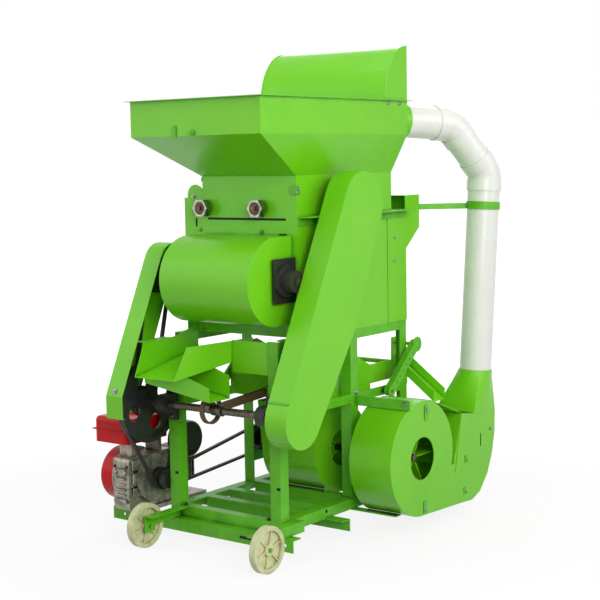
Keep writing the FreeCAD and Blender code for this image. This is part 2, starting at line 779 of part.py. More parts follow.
def make_engine_block():
    base_top = rail_bottom_z + engine_base_thick
    case_r = 16.0
    base = block(engine_base_x, (foot_front_y, foot_rear_y), (rail_bottom_z, base_top))
    case = block(crankcase_x, crankcase_y, (base_top, crankcase_top_z))
    case = case.makeFillet(case_r, [edge for edge in case.Edges if abs(edge.tangentAt(0).x) > 0.9])
    cover = rod((crankcase_x[1], crankcase_x[1] + engine_base_thick), crank_y, crank_z, side_cover_r)
    barrel_x = (crankcase_x[0] + 6, crankcase_x[1] - 6)
    barrel_y = (crankcase_y[1], 118.0)
    barrel_z = (150.0, 250.0)
    fin_reach = 12.0
    fin_pitch = 13.0
    pieces = [base, case, cover, block(barrel_x, barrel_y, barrel_z)]
    for index in range(7):
        y = barrel_y[0] + fin_pitch * (index + 1)
        pieces.append(block((barrel_x[0] - 10, barrel_x[1] + 10), (y, y + angle_wall),
                            (barrel_z[0] - fin_reach, barrel_z[1] + fin_reach)))
    tank_foot = 20.0
    for y in (tank_y[0] + 35, tank_y[1] - 40):
        pieces.append(block((crankcase_x[0] + 8, crankcase_x[1] - 8), (y, y + tank_foot),
                            (crankcase_top_z - fin_reach, tank_z[0])))
    body = fused(pieces)
    bore_x = (crankcase_x[1] - 28, crankcase_x[1] + 2 * engine_base_thick)
    return body.cut(rod(bore_x, crank_y, crank_z, rotor_shaft_r + running_gap))


def make_recoil_cover():
    edge_r = 14.0
    drum = rod(recoil_x, crank_y, crank_z, recoil_r)
    drum = drum.makeFillet(edge_r, [edge for edge in drum.Edges if abs(edge.BoundBox.XMax - recoil_x[0]) < 1])
    neck_step = 6.0
    neck = rod((recoil_x[1], crankcase_x[0]), crank_y, crank_z, recoil_r - neck_step)
    return group([drum, neck])


def make_fuel_tank():
    # Two pressed halves and the seam flange between them
    edge_r = 16.0
    middle = sum(tank_z) / 2
    reach = tank_seam_reach
    low = block(tank_x, tank_y, (tank_z[0], middle - sheet))
    low = low.makeFillet(edge_r, [edge for edge in low.Edges if edge.BoundBox.ZLength > 1])
    high = block(tank_x, tank_y, (middle + sheet, tank_z[1]))
    high = high.makeFillet(edge_r, [edge for edge in high.Edges if edge.BoundBox.ZMax > tank_z[1] - 1])
    seam = block((tank_x[0] - reach, tank_x[1] + reach), (tank_y[0] - reach, tank_y[1] + reach),
                 (middle - sheet, middle + sheet))
    return group([low, seam, high])


def make_fuel_cap():
    return Part.makeCylinder(24, 16, Vector(tank_x[0] + 50, tank_y[1] - 60, tank_z[1]), UP)


def make_muffler():
    edge_r = 10.0
    body = rod(muffler_x, muffler_y, muffler_z, muffler_r)
    return body.makeFillet(edge_r, [edge for edge in body.Edges if abs(edge.BoundBox.XMin - muffler_x[1]) < 1])


def make_crank_pulley():
    # Both small pulleys and the engine's shaft end turn as one
    pin_r = 3.0
    engine = pulley(engine_belt_x, crank_y, crank_z, crank_pulley_r, pin_r, 0)
    fan = pulley(fan_belt_x, crank_y, crank_z, crank_fan_pulley_r, pin_r, 0)
    shaft = rod((crankcase_x[1] - 22, fan_belt_x + 15), crank_y, crank_z, rotor_shaft_r)
    return fused([engine, fan, shaft])


def make_countershaft():
    end_reach = 12.0
    return rod((lower_belt_x - end_reach, upper_belt_x + end_reach), counter_y, counter_z, counter_shaft_r)


def make_countershaft_pulleys():
    bore = counter_shaft_r
    return group([
        pulley(engine_belt_x, counter_y, counter_z, big_pulley_r, bore, 4),
        pulley(lower_belt_x, counter_y, counter_z, counter_lower_pulley_r, bore, 0),
        pulley(upper_belt_x, counter_y, counter_z, counter_upper_pulley_r, bore, 0),
    ])


def make_eccentric():
    disc_half = 10.0
    sleeve_length = 40.0
    sleeve_r = 17.0
    disc_x = (eccentric_x - disc_half, eccentric_x + disc_half)
    sleeve_x = (disc_x[1], disc_x[1] + sleeve_length)
    disc = rod(disc_x, counter_y, counter_z + eccentric_throw, eccentric_r)
    sleeve = rod(sleeve_x, counter_y, counter_z, sleeve_r)
    return fused([disc, sleeve]).cut(rod((disc_x[0], sleeve_x[1]), counter_y, counter_z, counter_shaft_r))


def make_winnower_casing():
    # Drum open at both ends round the shaft, with a duct that blows up into the deck, on four legs
    duct_top_z = 410.0
    duct_depth = 96.0
    duct_lean = 20.0

    def solid(inset):
        x = (winnower_x[0] + inset, winnower_x[1] - inset)
        drum = rod(x, fan_y, fan_z, winnower_r - inset)
        front = fan_y - winnower_r + inset
        duct = side_profile([(front, fan_z), (front - duct_lean, duct_top_z),
                             (front + duct_depth - 2 * inset, duct_top_z), (fan_y - duct_lean, fan_z + 100)], x)
        return fused([drum, duct])

    body = solid(0).cut(solid(sheet))
    mouth_x = (winnower_x[0] + sheet, winnower_x[1] - sheet)
    body = body.cut(block(mouth_x, (0, fan_y - duct_lean), (duct_top_z - sheet, duct_top_z + through)))
    legs = []
    for y in cross_rail_ys[2:]:
        for low in (winnower_x[0], winnower_x[1] - sheet):
            leg = block((low, low + sheet), (y, y + angle_leg), (rail_bottom_z + angle_leg, fan_z))
            legs.append(leg)
    body = fused([body] + legs)
    return body.cut(rod((winnower_x[0] - through, winnower_x[1] + through), fan_y, fan_z, winnower_inlet_r))


def make_fan_shaft():
    end_reach = 12.0
    inner_reach = 30.0
    return rod((fan_belt_x - end_reach, blower_x[1] - inner_reach), fan_y, fan_z, fan_shaft_r)


def paddle_wheel(x, r, blades):
    hub_r = 26.0
    hub_inset = 10.0
    pieces = [tube((x[0] + hub_inset, x[1] - hub_inset), fan_y, fan_z, hub_r, fan_shaft_r)]
    for turn in range(blades):
        blade = block(x, (fan_y + hub_r - plate, fan_y + r), (fan_z - sheet, fan_z + sheet))
        blade.rotate(Vector(0, fan_y, fan_z), RIGHT, 360 * turn / blades)
        pieces.append(blade)
    return fused(pieces)


def blower_outline(x, inset):
    drum = rod(x, fan_y, fan_z, blower_r - inset)
    low_z = fan_z - blower_r + inset
    duct = side_profile([(fan_y, low_z), (seam_low[0], seam_low[1] + inset), (seam_top[0], seam_top[1] - inset),
                         (fan_y, seam_top[1] - inset)], x)
    return fused([drum, duct])


def seam_opening(front, rear):
    # Slot that joins the blower's duct to the scoop across their common seam
    x = (blower_x[0] + sheet, blower_x[1] - sheet)
    top_z = seam_top[1] - sheet
    low_z = seam_low[1] + sheet
    return side_profile([(seam_top[0] - front, top_z), (seam_top[0] + rear, top_z),
                         (seam_low[0] + rear * 2, low_z), (seam_low[0] - front * 2, low_z)], x)


def make_blower_casing():
    # Wrap between two side plates, the outer one with the round inlet
    inner = (blower_x[0], blower_x[0] + sheet)
    outer = (blower_x[1] - sheet, blower_x[1])
    wrap_x = (inner[1], outer[0])
    wrap = blower_outline(wrap_x, 0).cut(blower_outline(wrap_x, sheet)).cut(seam_opening(3, 9))
    near_plate = blower_outline(inner, 0).cut(rod(inner, fan_y, fan_z, fan_shaft_r + 8))
    far_plate = blower_outline(outer, 0).cut(rod(outer, fan_y, fan_z, blower_inlet_r))
    return group([wrap, near_plate, far_plate])


def make_blower_stays():
    bar_y = 296.0
    bar_z = (412.0, 445.0)
    foot_x = (-angle_leg, 170.0)
    foot_y = (268.0, 298.0)
    top = block((0, blower_x[1] + 2 * plate), (bar_y, bar_y + plate), bar_z)
    foot = block(foot_x, foot_y, (rail_bottom_z - plate, rail_bottom_z))
    return [top, foot]


def scoop_core(inset):
    x = (blower_x[0] + inset, blower_x[1] - inset)
    back = [(seam_low[0], seam_low[1] + inset), (700, 38 + inset), (754 - inset, 58 + inset), (806 - inset, 110),
            (840 - inset, 180), (858 - inset, 250), (cone_y[1] - inset, cone_base_z)]
    outline = [(seam_top[0] + inset * 0.3, seam_top[1])] + back
    outline += [(scoop_shelf_y, cone_base_z), (scoop_inlet[0] + inset, scoop_inlet[1])]
    return side_profile(outline, x)


def cone_core(inset):
    # Square at the scoop, round where the pipe stands on it
    ring_wall = 2.6
    x = (blower_x[0] + inset, blower_x[1] - inset)
    y = (cone_y[0] + inset, cone_y[1] - inset)
    base = [Vector(x[0], y[0], cone_base_z), Vector(x[1], y[0], cone_base_z),
            Vector(x[1], y[1], cone_base_z), Vector(x[0], y[1], cone_base_z)]
    foot = Part.Wire(Part.makePolygon(base + base[:1]))
    ring = Part.Wire(Part.Circle(pipe_foot, pipe_up, pipe_r + ring_wall - inset + running_gap).toShape())
    return Part.makeLoft([foot, ring], True, True)


def make_scoop():
    # Curved duct with an open inlet in front of the cone, and a door plate on its right side
    outer = fused([scoop_core(0), cone_core(0)])
    body = outer.cut(scoop_core(sheet)).cut(cone_core(sheet))
    inner_x = (blower_x[0] + sheet, blower_x[1] - sheet)
    body = body.cut(block(inner_x, (cone_y[0] + plate, cone_y[1] - sheet), (cone_base_z - 10, cone_base_z + 6)))
    body = body.cut(block(inner_x, (scoop_inlet[0] + sheet, cone_y[0] - sheet), (cone_base_z - 5, cone_base_z + 30)))
    door = side_profile(door_corners, (blower_x[1], blower_x[1] + sheet))
    return group([body.cut(seam_opening(9, 5)), door])


def make_scoop_lid():
    # Sloping plate that lies on the blower drum and on the front edge of the scoop's inlet
    overlap = 12.0
    edge_y = scoop_inlet[0] - fan_y
    edge_z = scoop_inlet[1] - fan_z
    reach = math.hypot(edge_y, edge_z)
    rest_r = blower_r + seat_gap
    slope = math.asin(rest_r / reach) - math.atan2(edge_z, edge_y)
    run = math.sqrt(reach * reach - rest_r * rest_r) + overlap
    along = (-math.cos(slope), math.sin(slope))
    across = (math.sin(slope), math.cos(slope))
    low = (scoop_inlet[0], scoop_inlet[1])
    high = (low[0] + along[0] * run, low[1] + along[1] * run)
    outline = [low, high, (high[0] + across[0] * sheet, high[1] + across[1] * sheet),
               (low[0] + across[0] * sheet, low[1] + across[1] * sheet)]
    return side_profile(outline, (blower_x[0] - plate, blower_x[1]))


def elbow(centre, going_in, going_out):
    # 45 degree pipe bend with a socket at each end
    tangent = elbow_bend_r * math.tan(elbow_turn / 2)
    start = centre - going_in * tangent
    end = centre + going_out * tangent
    normal = going_in.cross(going_out)
    normal.normalize()
    hub = start + normal.cross(going_in) * elbow_bend_r

    def bend(r):
        ring = Part.Wire(Part.Circle(start, going_in, r).toShape())
        return Part.Face(ring).revolve(hub, normal, math.degrees(elbow_turn))

    def sockets(r, length):
        return [Part.makeCylinder(r, length, start, -going_in), Part.makeCylinder(r, length, end, going_out)]

    body = fused([bend(pipe_r + socket_wall / 2)] + sockets(pipe_r + socket_wall, socket_length))
    body = body.cut(bend(pipe_r - pipe_wall))
    for bore in sockets(pipe_r + running_gap, socket_length + 1):
        body = body.cut(bore)
    return body


def make_pipe_elbows():
    return group([
        elbow(lower_bend, pipe_up, -slant_down),
        elbow(upper_bend, -slant_down, -pipe_out),
    ])


def make_delivery_pipes():
    inner = pipe_r - pipe_wall
    reach = elbow_bend_r * math.tan(elbow_turn / 2) + seat_gap
    entry = 20.0
    foot = pipe_foot + pipe_up * seat_gap
    rise = pipe_piece(foot, pipe_up, pipe_rise - reach - seat_gap, pipe_r, inner)
    slant = pipe_piece(upper_bend + slant_down * reach, slant_down, pipe_slant - 2 * reach, pipe_r, inner)
    level = pipe_piece(wall_point - pipe_out * entry, pipe_out, wall_run + entry - reach, pipe_r, inner)
    return group([rise, slant, level])


def bar_between(start, end, thick, z):
    run = end - start
    side = Vector(-run.y, run.x, 0)
    side.normalize()
    points = [start - side * thick / 2, end - side * thick / 2, end + side * thick / 2, start + side * thick / 2]
    points = [Vector(p.x, p.y, z[0]) for p in points]
    return Part.Face(Part.makePolygon(points + points[:1])).extrude(Vector(0, 0, z[1] - z[0]))


def make_pipe_strap():
    # Ring round the pipe with a flat arm to a tab on the rear box
    height = 26.0
    ring_wall = 4.0
    arm_thick = 5.0
    tab_x = (-60.0, -10.0)
    middle = pipe_foot + pipe_up * ((strap_z - pipe_foot.z) / pipe_up.z)
    ring = pipe_piece(middle - pipe_up * height / 2, pipe_up, height, pipe_r + ring_wall, pipe_r + running_gap)
    near = Vector(sum(tab_x) / 2 + 5, box_back_y + 2, 0)
    centre = Vector(middle.x, middle.y, 0)
    heading = near - centre
    heading.normalize()
    z = (strap_z - 10, strap_z + 10)
    arm = bar_between(centre + heading * (pipe_r + 1.5), near + heading * 2, arm_thick, z)
    ahead = block((2 * tab_x[0], 0), (body_depth, box_back_y), z)
    tab = block(tab_x, (box_back_y, box_back_y + arm_thick), z)
    clear = Part.makeCylinder(pipe_r + running_gap, 4 * height, middle - pipe_up * 2 * height, pipe_up)
    return fused([ring, arm.cut(ahead).cut(clear), tab])


def make_upper_chute():
    # Sloping trough from the body to the front, narrowed on its right by a slanting wall
    lip_y, lip_z = chute_lip
    body_z = 613.0
    wall_top = 659.0
    right_x = -184.0
    lip_right_x = -250.0
    inner_left = left_x + post_leg
    floor_plate = side_profile([(lip_y, lip_z), (post_front_y, chute_foot_z), (-sheet, body_z),
                                (-sheet, body_z + sheet), (post_front_y, chute_foot_z + sheet),
                                (lip_y, lip_z + sheet)], (inner_left, right_x))

    def upright(corners):
        base = [Vector(x, y, lip_z - 50) for x, y in corners]
        return Part.Face(Part.makePolygon(base + base[:1])).extrude(Vector(0, 0, 200))

    beyond = upright(((lip_right_x, lip_y - 1), (right_x + 1, lip_y - 1), (right_x + 1, post_front_y),
                      (right_x, post_front_y)))
    left_wall = side_profile([(lip_y, lip_z + sheet), (post_front_y, chute_foot_z + sheet), (-sheet, body_z + sheet),
                              (-sheet, body_z + 77), (post_front_y, wall_top + 1), (lip_y + 45, wall_top - 4)],
                             (inner_left, inner_left + sheet))
    right_wall = upright(((lip_right_x, lip_y), (lip_right_x - sheet, lip_y), (right_x - sheet, post_front_y),
                          (right_x, post_front_y)))
    keep = side_profile([(lip_y, lip_z + sheet), (post_front_y, chute_foot_z + sheet), (post_front_y, wall_top),
                         (lip_y + 45, wall_top - 6)], (lip_right_x - 10, right_x + 4))
    inner_wall = side_profile([(post_front_y, chute_foot_z + sheet), (-sheet, body_z + sheet), (-sheet, wall_top),
                               (post_front_y, wall_top)], (right_x - sheet, right_x))
    return fused([floor_plate.cut(beyond), left_wall, right_wall.common(keep), inner_wall])


def make_discharge_spout():
    # Trough below the chute's lip, falling to the right, open at its right end
    high_x, low_x = spout_x
    low_z, high_z = spout_z
    crown_x = -280.0
    front_top = 42.0
    back_top = 72.0
    floor = front_profile([(high_x, high_z), (low_x, low_z), (low_x, low_z + sheet), (high_x, high_z + sheet)], spout_y)
    front = front_profile([(high_x, high_z + sheet), (low_x, low_z + sheet), (low_x, low_z + front_top + sheet),
                           (crown_x, high_z + front_top), (high_x, high_z + front_top - 14)],
                          (spout_y[0], spout_y[0] + sheet))
    back = front_profile([(high_x, high_z + sheet), (low_x, low_z + sheet), (low_x, low_z + back_top),
                          (crown_x, high_z + back_top), (high_x, high_z + back_top)], (spout_y[1] - sheet, spout_y[1]))
    end = block((high_x, high_x + sheet), spout_y, (high_z + sheet, high_z + back_top))
    body = fused([floor, front, back, end])
    reach = 20.0
    above = side_profile([(chute_lip[0] - reach, chute_lip[1] - reach * chute_slope), (post_front_y, chute_foot_z),
                          (post_front_y, chute_foot_z + 100), (chute_lip[0] - reach, chute_foot_z + 100)],
                         (high_x - 1, low_x + 1))
    return body.cut(above)


def make_guide_plates():
    # Deflector behind the front posts, and the chute that drops unshelled nuts into the scoop
    deflector_x = (-184.0, -36.0)
    deflector_y = (post_front_y + angle_wall, post_front_y + angle_wall + sheet)
    deflector = block(deflector_x, deflector_y, (561, body_bottom_z))
    y = (608.0, 680.0)
    high = (-50.0, 500.0)
    low = (106.0, 384.0)
    side_height = 38.0
    lug_z = (440.0, 490.0)
    thick = sheet * 1.25
    floor = front_profile([high, low, (low[0], low[1] + thick), (high[0], high[1] + thick)], y)
    walls = []
    for near in (y[0], y[1] - sheet):
        walls.append(front_profile([(high[0], high[1] + sheet), (low[0], low[1] + sheet),
                                    (low[0], low[1] + side_height), (high[0], high[1] + side_height)],
                                   (near, near + sheet)))
    lug = block((-angle_wall, 0), (body_depth, y[0]), lug_z)
    return group([deflector, fused([floor, lug] + walls)])


def rear_box_core(inset):
    top_z = 1086.0 - inset
    low_back_z = 975.0 + inset
    low_front_z = 902.0 + 2 * inset
    points = [(body_depth + sheet, low_front_z), (box_back_y - inset, low_back_z),
              (box_back_y - inset, top_z), (body_depth + sheet, top_z)]
    return side_profile(points, (left_x + inset, -inset))


def make_rear_box():
    return rear_box_core(0).cut(rear_box_core(sheet))


def make_clamp_rods():
    reach = (-46.0, 24.0)
    return [Part.makeCylinder(clamp_rod_r, reach[1] - reach[0], Vector(x, reach[0], hand_nut_z), BACK)
            for x in hand_nut_xs]


def make_hand_nut(x):
    across = 30.0
    front_y = -38.0
    length = 26.0
    corners = []
    for side in range(6):
        angle = math.radians(60 * side)
        corners.append(Vector(x + across * math.cos(angle), front_y, hand_nut_z + across * math.sin(angle)))
    body = Part.Face(Part.makePolygon(corners + corners[:1])).extrude(Vector(0, length, 0))
    return body.cut(Part.makeCylinder(clamp_rod_r + running_gap, length, Vector(x, front_y, hand_nut_z), BACK))


def make_shaker_deck():
    # Two side cheeks joined by a slotted screen, a front wall and two tie rods, hung on four pins
    front_y = 140.0
    rear_y = 690.0
    screen_z = (458.0, 461.0)
    low_z = 440.0
    lip_z = 520.0
    upper_y = rear_pivot_y + pivot_run
    upper_z = lower_pivot_z + pivot_rise
    ear_half = 24.0
    outline = [(front_y, low_z), (front_y, 600), (283, 609), (460, lip_z), (upper_y - ear_half - 1, lip_z),
               (upper_y - ear_half + 1, upper_z + 20), (upper_y + ear_half - 1, upper_z + 20),
               (upper_y + ear_half + 1, lip_z), (rear_y, lip_z), (rear_y, 455), (462, 455), (462, 427), (300, 427)]
    right = side_profile(outline, (deck_x[1] - sheet, deck_x[1]))
    left = side_profile(outline, (deck_x[0], deck_x[0] + sheet))
    screen = block(deck_x, (front_y, rear_y), screen_z)
    pitch = 30.0
    slot_width = 9.0
    margin = 20.0
    for index in range(int((rear_y - front_y - 2 * margin) / pitch)):
        y = front_y + margin + index * pitch
        screen = screen.cut(block((deck_x[0] + margin, deck_x[1] - margin), (y, y + slot_width),
                                  (screen_z[0] - 1, screen_z[1] + 1)))
    front = block(deck_x, (front_y, front_y + sheet), (low_z, lip_z))
    tie_r = 8.0
    ties = [rod(deck_x, 300, 560, tie_r), rod(deck_x, rear_y - 30, lip_z - 20, tie_r)]
    pins = []
    for reach, y in ((rear_rocker_x[1], upper_y), (front_rocker_x[1], front_pivot_y + pivot_run)):
        pins.append(rod((deck_x[1] - sheet, reach), y, upper_z, pivot_r))
        pins.append(rod((left_x - reach, deck_x[0] + sheet), y, upper_z, pivot_r))
    lug = block((eccentric_x - 10, eccentric_x + 10), (120, front_y + 1), (lower_pivot_z + 8, lower_pivot_z + 40))
    return fused([right, left, screen, front, lug] + ties + pins)


def rocker(x, y):
    # Flat arm between two pivots, rounded at both ends
    end_r = 16.0
    lower = (y, lower_pivot_z)
    upper = (y + pivot_run, lower_pivot_z + pivot_rise)
    arm = loop_body(x, lower, end_r, upper, end_r)
    for pivot in (lower, upper):
        arm = arm.cut(rod(x, pivot[0], pivot[1], pivot_r + running_gap))
    return arm


def channel_rocker(x, outer_x):
    # Pressed channel open towards the machine, with a round head, a boss at each pivot and a row of holes
    end_r = 16.0
    head_r = 26.0
    foot_r = 20.0
    wall = 3.0
    boss_r = 10.0
    hole_r = 3.0
    hole_count = 6
    lower = (rear_pivot_y, lower_pivot_z)
    upper = (rear_pivot_y + pivot_run, lower_pivot_z + pivot_rise)
    web = sorted((outer_x, outer_x + (wall if outer_x == x[0] else -wall)))
    inside = (x[0] if outer_x == x[1] else web[1], web[0] if outer_x == x[1] else x[1])
    arm = loop_body(x, lower, end_r, upper, end_r)
    arm = arm.cut(loop_body(inside, lower, end_r - wall, upper, end_r - wall))
    arm = fused([arm, rod(web, upper[0], upper[1], head_r), rod(web, lower[0], lower[1], foot_r),
                 rod(x, upper[0], upper[1], boss_r), rod(x, lower[0], lower[1], boss_r)])
    for pivot in (lower, upper):
        arm = arm.cut(rod(x, pivot[0], pivot[1], pivot_r + running_gap))
    for index in range(hole_count):
        share = (index + 1.5) / (hole_count + 2)
        arm = arm.cut(rod(web, lower[0] + pivot_run * share, lower[1] + pivot_rise * share, hole_r))
    return arm


def mirrored_span(x):
    return (left_x - x[1], left_x - x[0])


def make_rear_rockers():
    left_span = mirrored_span(rear_rocker_x)
    return group([channel_rocker(rear_rocker_x, rear_rocker_x[1]), channel_rocker(left_span, left_span[0])])


def make_front_rockers():
    return group([rocker(front_rocker_x, front_pivot_y), rocker(mirrored_span(front_rocker_x), front_pivot_y)])


def make_rocker_pins():
    right_rear = rod((0, rear_rocker_x[1]), rear_pivot_y, lower_pivot_z, pivot_r)
    left_rear = rod((left_x - rear_rocker_x[1], left_x), rear_pivot_y, lower_pivot_z, pivot_r)
    right_front = rod((front_rocker_x[0], -angle_wall), front_pivot_y, lower_pivot_z, pivot_r)
    left_front = rod((left_x + angle_wall, left_x - front_rocker_x[0]), front_pivot_y, lower_pivot_z, pivot_r)
    return [right_rear, left_rear, right_front, left_front]


def make_connecting_rod():
    # Strap round the eccentric and a shank to the lug on the deck's front wall
    half = 8.0
    end_y = 120.0
    root = 12.0
    x = (eccentric_x - half, eccentric_x + half)
    ring = tube(x, counter_y, counter_z, strap_outer_r, strap_inner_r)
    shank_y = counter_y + (strap_outer_r + strap_inner_r) / 2
    shank = side_profile([(shank_y, counter_z - root), (end_y, lower_pivot_z + 10),
                          (end_y, lower_pivot_z + 36), (shank_y, counter_z + root)], x)
    return fused([ring, shank])


def make_wheel(x, y):
    half = wheel_width / 2
    tread = 14.0
    hub_r = 18.0
    web_half = 3.0
    rib_half = 2.5
    spokes = 6
    first_deg = 15.0
    tyre = tube((x - half, x + half), y, wheel_r, wheel_r, wheel_r - tread)
    hub = tube((x - half, x + half), y, wheel_r, hub_r, axle_r + running_gap)
    web = tube((x - web_half, x + web_half), y, wheel_r, wheel_r - tread + 2, hub_r - 2)
    pieces = [tyre, hub, web]
    for spoke in range(spokes):
        rib = block((x - half + 3, x + half - 3), (y + hub_r - 2, y + wheel_r - tread + 2),
                    (wheel_r - rib_half, wheel_r + rib_half))
        rib.rotate(Vector(0, y, wheel_r), RIGHT, 360 * spoke / spokes + first_deg)
        pieces.append(rib)
    return fused(pieces)


def wheel_bracket(x, y_hub, y_end, side):
    # Angle along Y whose ear holds the axle, side is +1 where the wheel is to its right
    ear_half = 23.0
    ear_drop = 18.0
    top_z = rail_bottom_z + angle_leg
    y = (min(y_hub - ear_half, y_end), max(y_hub + ear_half, y_end))
    wall_x = sorted((x, x - side * angle_wall))
    flange_x = sorted((x, x - side * angle_leg))
    return fused([
        block(wall_x, y, (rail_bottom_z, top_z)),
        block(wall_x, (y_hub - ear_half, y_hub + ear_half), (wheel_r - ear_drop, rail_bottom_z)),
        block(flange_x, y, (top_z - angle_wall, top_z)),
    ])


def make_wheel_brackets():
    hub_gap = 7.0
    axle_reach = 6.0
    pieces = []
    specs = (
        (right_front_wheel_x, front_wheel_y, post_front_y + 2 * angle_leg, 1, angle_leg),
        (left_wheel_x, front_wheel_y, post_front_y, -1, None),
        (left_wheel_x, rear_wheel_y, body_depth, -1, None),
        (right_rear_wheel_x, rear_wheel_y, body_depth, 1, None),
    )
    for wheel_x, hub_y, end_y, side, fixed_x in specs:
        wall_x = wheel_x - side * (wheel_width / 2 + hub_gap) if fixed_x is None else fixed_x
        bracket = wheel_bracket(wall_x, hub_y, end_y, side)
        ends = sorted((wall_x - side * 2 * axle_reach, wheel_x + side * (wheel_width / 2 + axle_reach)))
        pieces.append(fused([bracket, rod(ends, hub_y, wheel_r, axle_r)]))
    return group(pieces)


nodes = {
    "foot_rails": make_foot_rails(),
    "base_rails": make_base_rails(),
    "posts": make_posts(),
    "upper_members": make_upper_members(),
    "side_panels": make_side_panels(),
    "front_panel": make_front_panel(),
    "bearing_shelf": make_bearing_shelf(),
    "feed_box": make_feed_box(),
    "hopper": make_hopper(),
    "feed_gate": make_feed_gate(),
    "hood": make_hood(),
    "upper_rotor": rotor((neck_left_x + 18, -18), upper_axis_y, upper_axis_z, upper_rotor_r,
                         (upper_bearing_xs[0] - 24, upper_belt_x + 14), 4),
    "upper_pulley": pulley(upper_belt_x, upper_axis_y, upper_axis_z, upper_pulley_r, rotor_shaft_r, 4),
    "upper_concave": concave((neck_left_x + 4, -4), upper_axis_y, upper_axis_z, upper_concave_r, -180, 0, 16, 8),
    "lower_rotor": rotor((panel_opening_x[0] + 10, panel_opening_x[1] - 4), lower_axis_y, lower_axis_z,
                         lower_rotor_r, (lower_belt_x - 11, cover_x[1] + 64), 4),
    "lower_rotor_pulley": pulley(lower_belt_x, lower_axis_y, lower_axis_z, lower_pulley_r, rotor_shaft_r, 0),
    "lower_concave": concave(panel_opening_x, lower_axis_y, lower_axis_z, lower_concave_r, -115, 15, 14, 6),
    "rotor_cover": make_rotor_cover(),
    "rotor_bearings": make_rotor_bearings(),
    "pillow_blocks": make_pillow_blocks(),
    "belt_guard_right": make_right_guard(),
    "belt_guard_left": make_left_guard(),
    "stays": group(make_guard_stays() + make_blower_stays()),
    "drive_belts": make_belts(),
    "engine_block": make_engine_block(),
    "recoil_cover": make_recoil_cover(),
    "fuel_tank": make_fuel_tank(),
    "fuel_cap": make_fuel_cap(),
    "engine_muffler": make_muffler(),
    "crank_pulley": make_crank_pulley(),
    "countershaft": make_countershaft(),
    "countershaft_pulleys": make_countershaft_pulleys(),
    "eccentric": make_eccentric(),
    "winnower_casing": make_winnower_casing(),
    "fan_shaft": make_fan_shaft(),
    "fan_pulley": pulley(fan_belt_x, fan_y, fan_z, fan_pulley_r, fan_shaft_r, 0),
    "winnower_paddles": paddle_wheel((winnower_x[0] + 12, winnower_x[1] - 12), winnower_r - 16, 5),
    "blower_impeller": paddle_wheel((blower_x[0] + 12, blower_x[1] - 34), blower_r - 22, 6),
    "blower_casing": make_blower_casing(),
    "scoop": make_scoop(),
    "scoop_lid": make_scoop_lid(),
    "pipe_elbows": make_pipe_elbows(),
    "delivery_pipes": make_delivery_pipes(),
    "pipe_strap": make_pipe_strap(),
    "upper_chute": make_upper_chute(),
    "discharge_spout": make_discharge_spout(),
    "guide_plates": make_guide_plates(),
    "rear_box": make_rear_box(),
    "fixed_pins": group(make_clamp_rods() + make_rocker_pins()),
    "hand_nut_left": make_hand_nut(hand_nut_xs[0]),
    "hand_nut_right": make_hand_nut(hand_nut_xs[1]),
    "shaker_deck": make_shaker_deck(),
    "rear_rockers": make_rear_rockers(),
    "front_rockers": make_front_rockers(),
    "connecting_rod": make_connecting_rod(),
    "wheel_brackets": make_wheel_brackets(),
}
wheels = (
    ("wheel_front_right", right_front_wheel_x, front_wheel_y),
    ("wheel_front_left", left_wheel_x, front_wheel_y),
    ("wheel_rear_right", right_rear_wheel_x, rear_wheel_y),
    ("wheel_rear_left", left_wheel_x, rear_wheel_y),
)
for wheel_name, wheel_x, wheel_y in wheels:
    nodes[wheel_name] = make_wheel(wheel_x, wheel_y)

# The origin lies on the floor, below the middle of the whole machine
bounds = Part.makeCompound(list(nodes.values())).BoundBox
origin_shift = Vector(-(bounds.XMin + bounds.XMax) / 2, -(bounds.YMin + bounds.YMax) / 2, -bounds.ZMin)
for name, shape in nodes.items():
    shape.translate(origin_shift)
    shape.exportStep("parts/" + name + ".step")
print(len(nodes), "nodes, shift", origin_shift, "size", bounds.XLength, bounds.YLength, bounds.ZLength)
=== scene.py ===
import math

import bmesh
import bpy
import numpy as np
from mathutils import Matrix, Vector
from mathutils.bvhtree import BVHTree


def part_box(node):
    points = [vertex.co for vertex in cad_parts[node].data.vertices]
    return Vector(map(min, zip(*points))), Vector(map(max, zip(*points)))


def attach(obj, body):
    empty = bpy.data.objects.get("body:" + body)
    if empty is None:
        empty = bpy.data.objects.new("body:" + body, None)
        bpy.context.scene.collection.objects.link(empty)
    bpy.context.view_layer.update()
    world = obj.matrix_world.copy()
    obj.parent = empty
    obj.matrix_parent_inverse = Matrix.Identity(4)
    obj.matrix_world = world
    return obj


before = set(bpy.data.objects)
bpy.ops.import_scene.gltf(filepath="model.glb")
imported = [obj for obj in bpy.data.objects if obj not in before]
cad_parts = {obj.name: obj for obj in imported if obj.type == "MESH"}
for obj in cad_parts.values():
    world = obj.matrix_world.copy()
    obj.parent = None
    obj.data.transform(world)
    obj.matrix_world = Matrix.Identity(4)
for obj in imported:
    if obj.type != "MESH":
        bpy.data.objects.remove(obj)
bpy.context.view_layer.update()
print("frame loaded:", len(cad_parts), "nodes")

# Places below are in millimetres from the machine's own zero: the right side of the frame, the body's
# front panel and the floor. The hopper lip's front right corner is (80, -265) there.
lipCorner = Vector((0.080, -0.265, 0.0))
hopperLow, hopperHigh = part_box("hopper")
machineZero = Vector((hopperHigh.x - lipCorner.x, hopperLow.y - lipCorner.y, 0.0))


def spot(x, y, z):
    return machineZero + Vector((x, y, z)) / 1000


def linear(hexColour):
    # sRGB hex to linear light: the low part of the curve is a straight line, the rest a 2.4 power
    parts = [int(hexColour[i:i + 2], 16) / 255 for i in (1, 3, 5)]
    return tuple(p / 12.92 if p <= 0.04045 else ((p + 0.055) / 1.055) ** 2.4 for p in parts) + (1.0,)


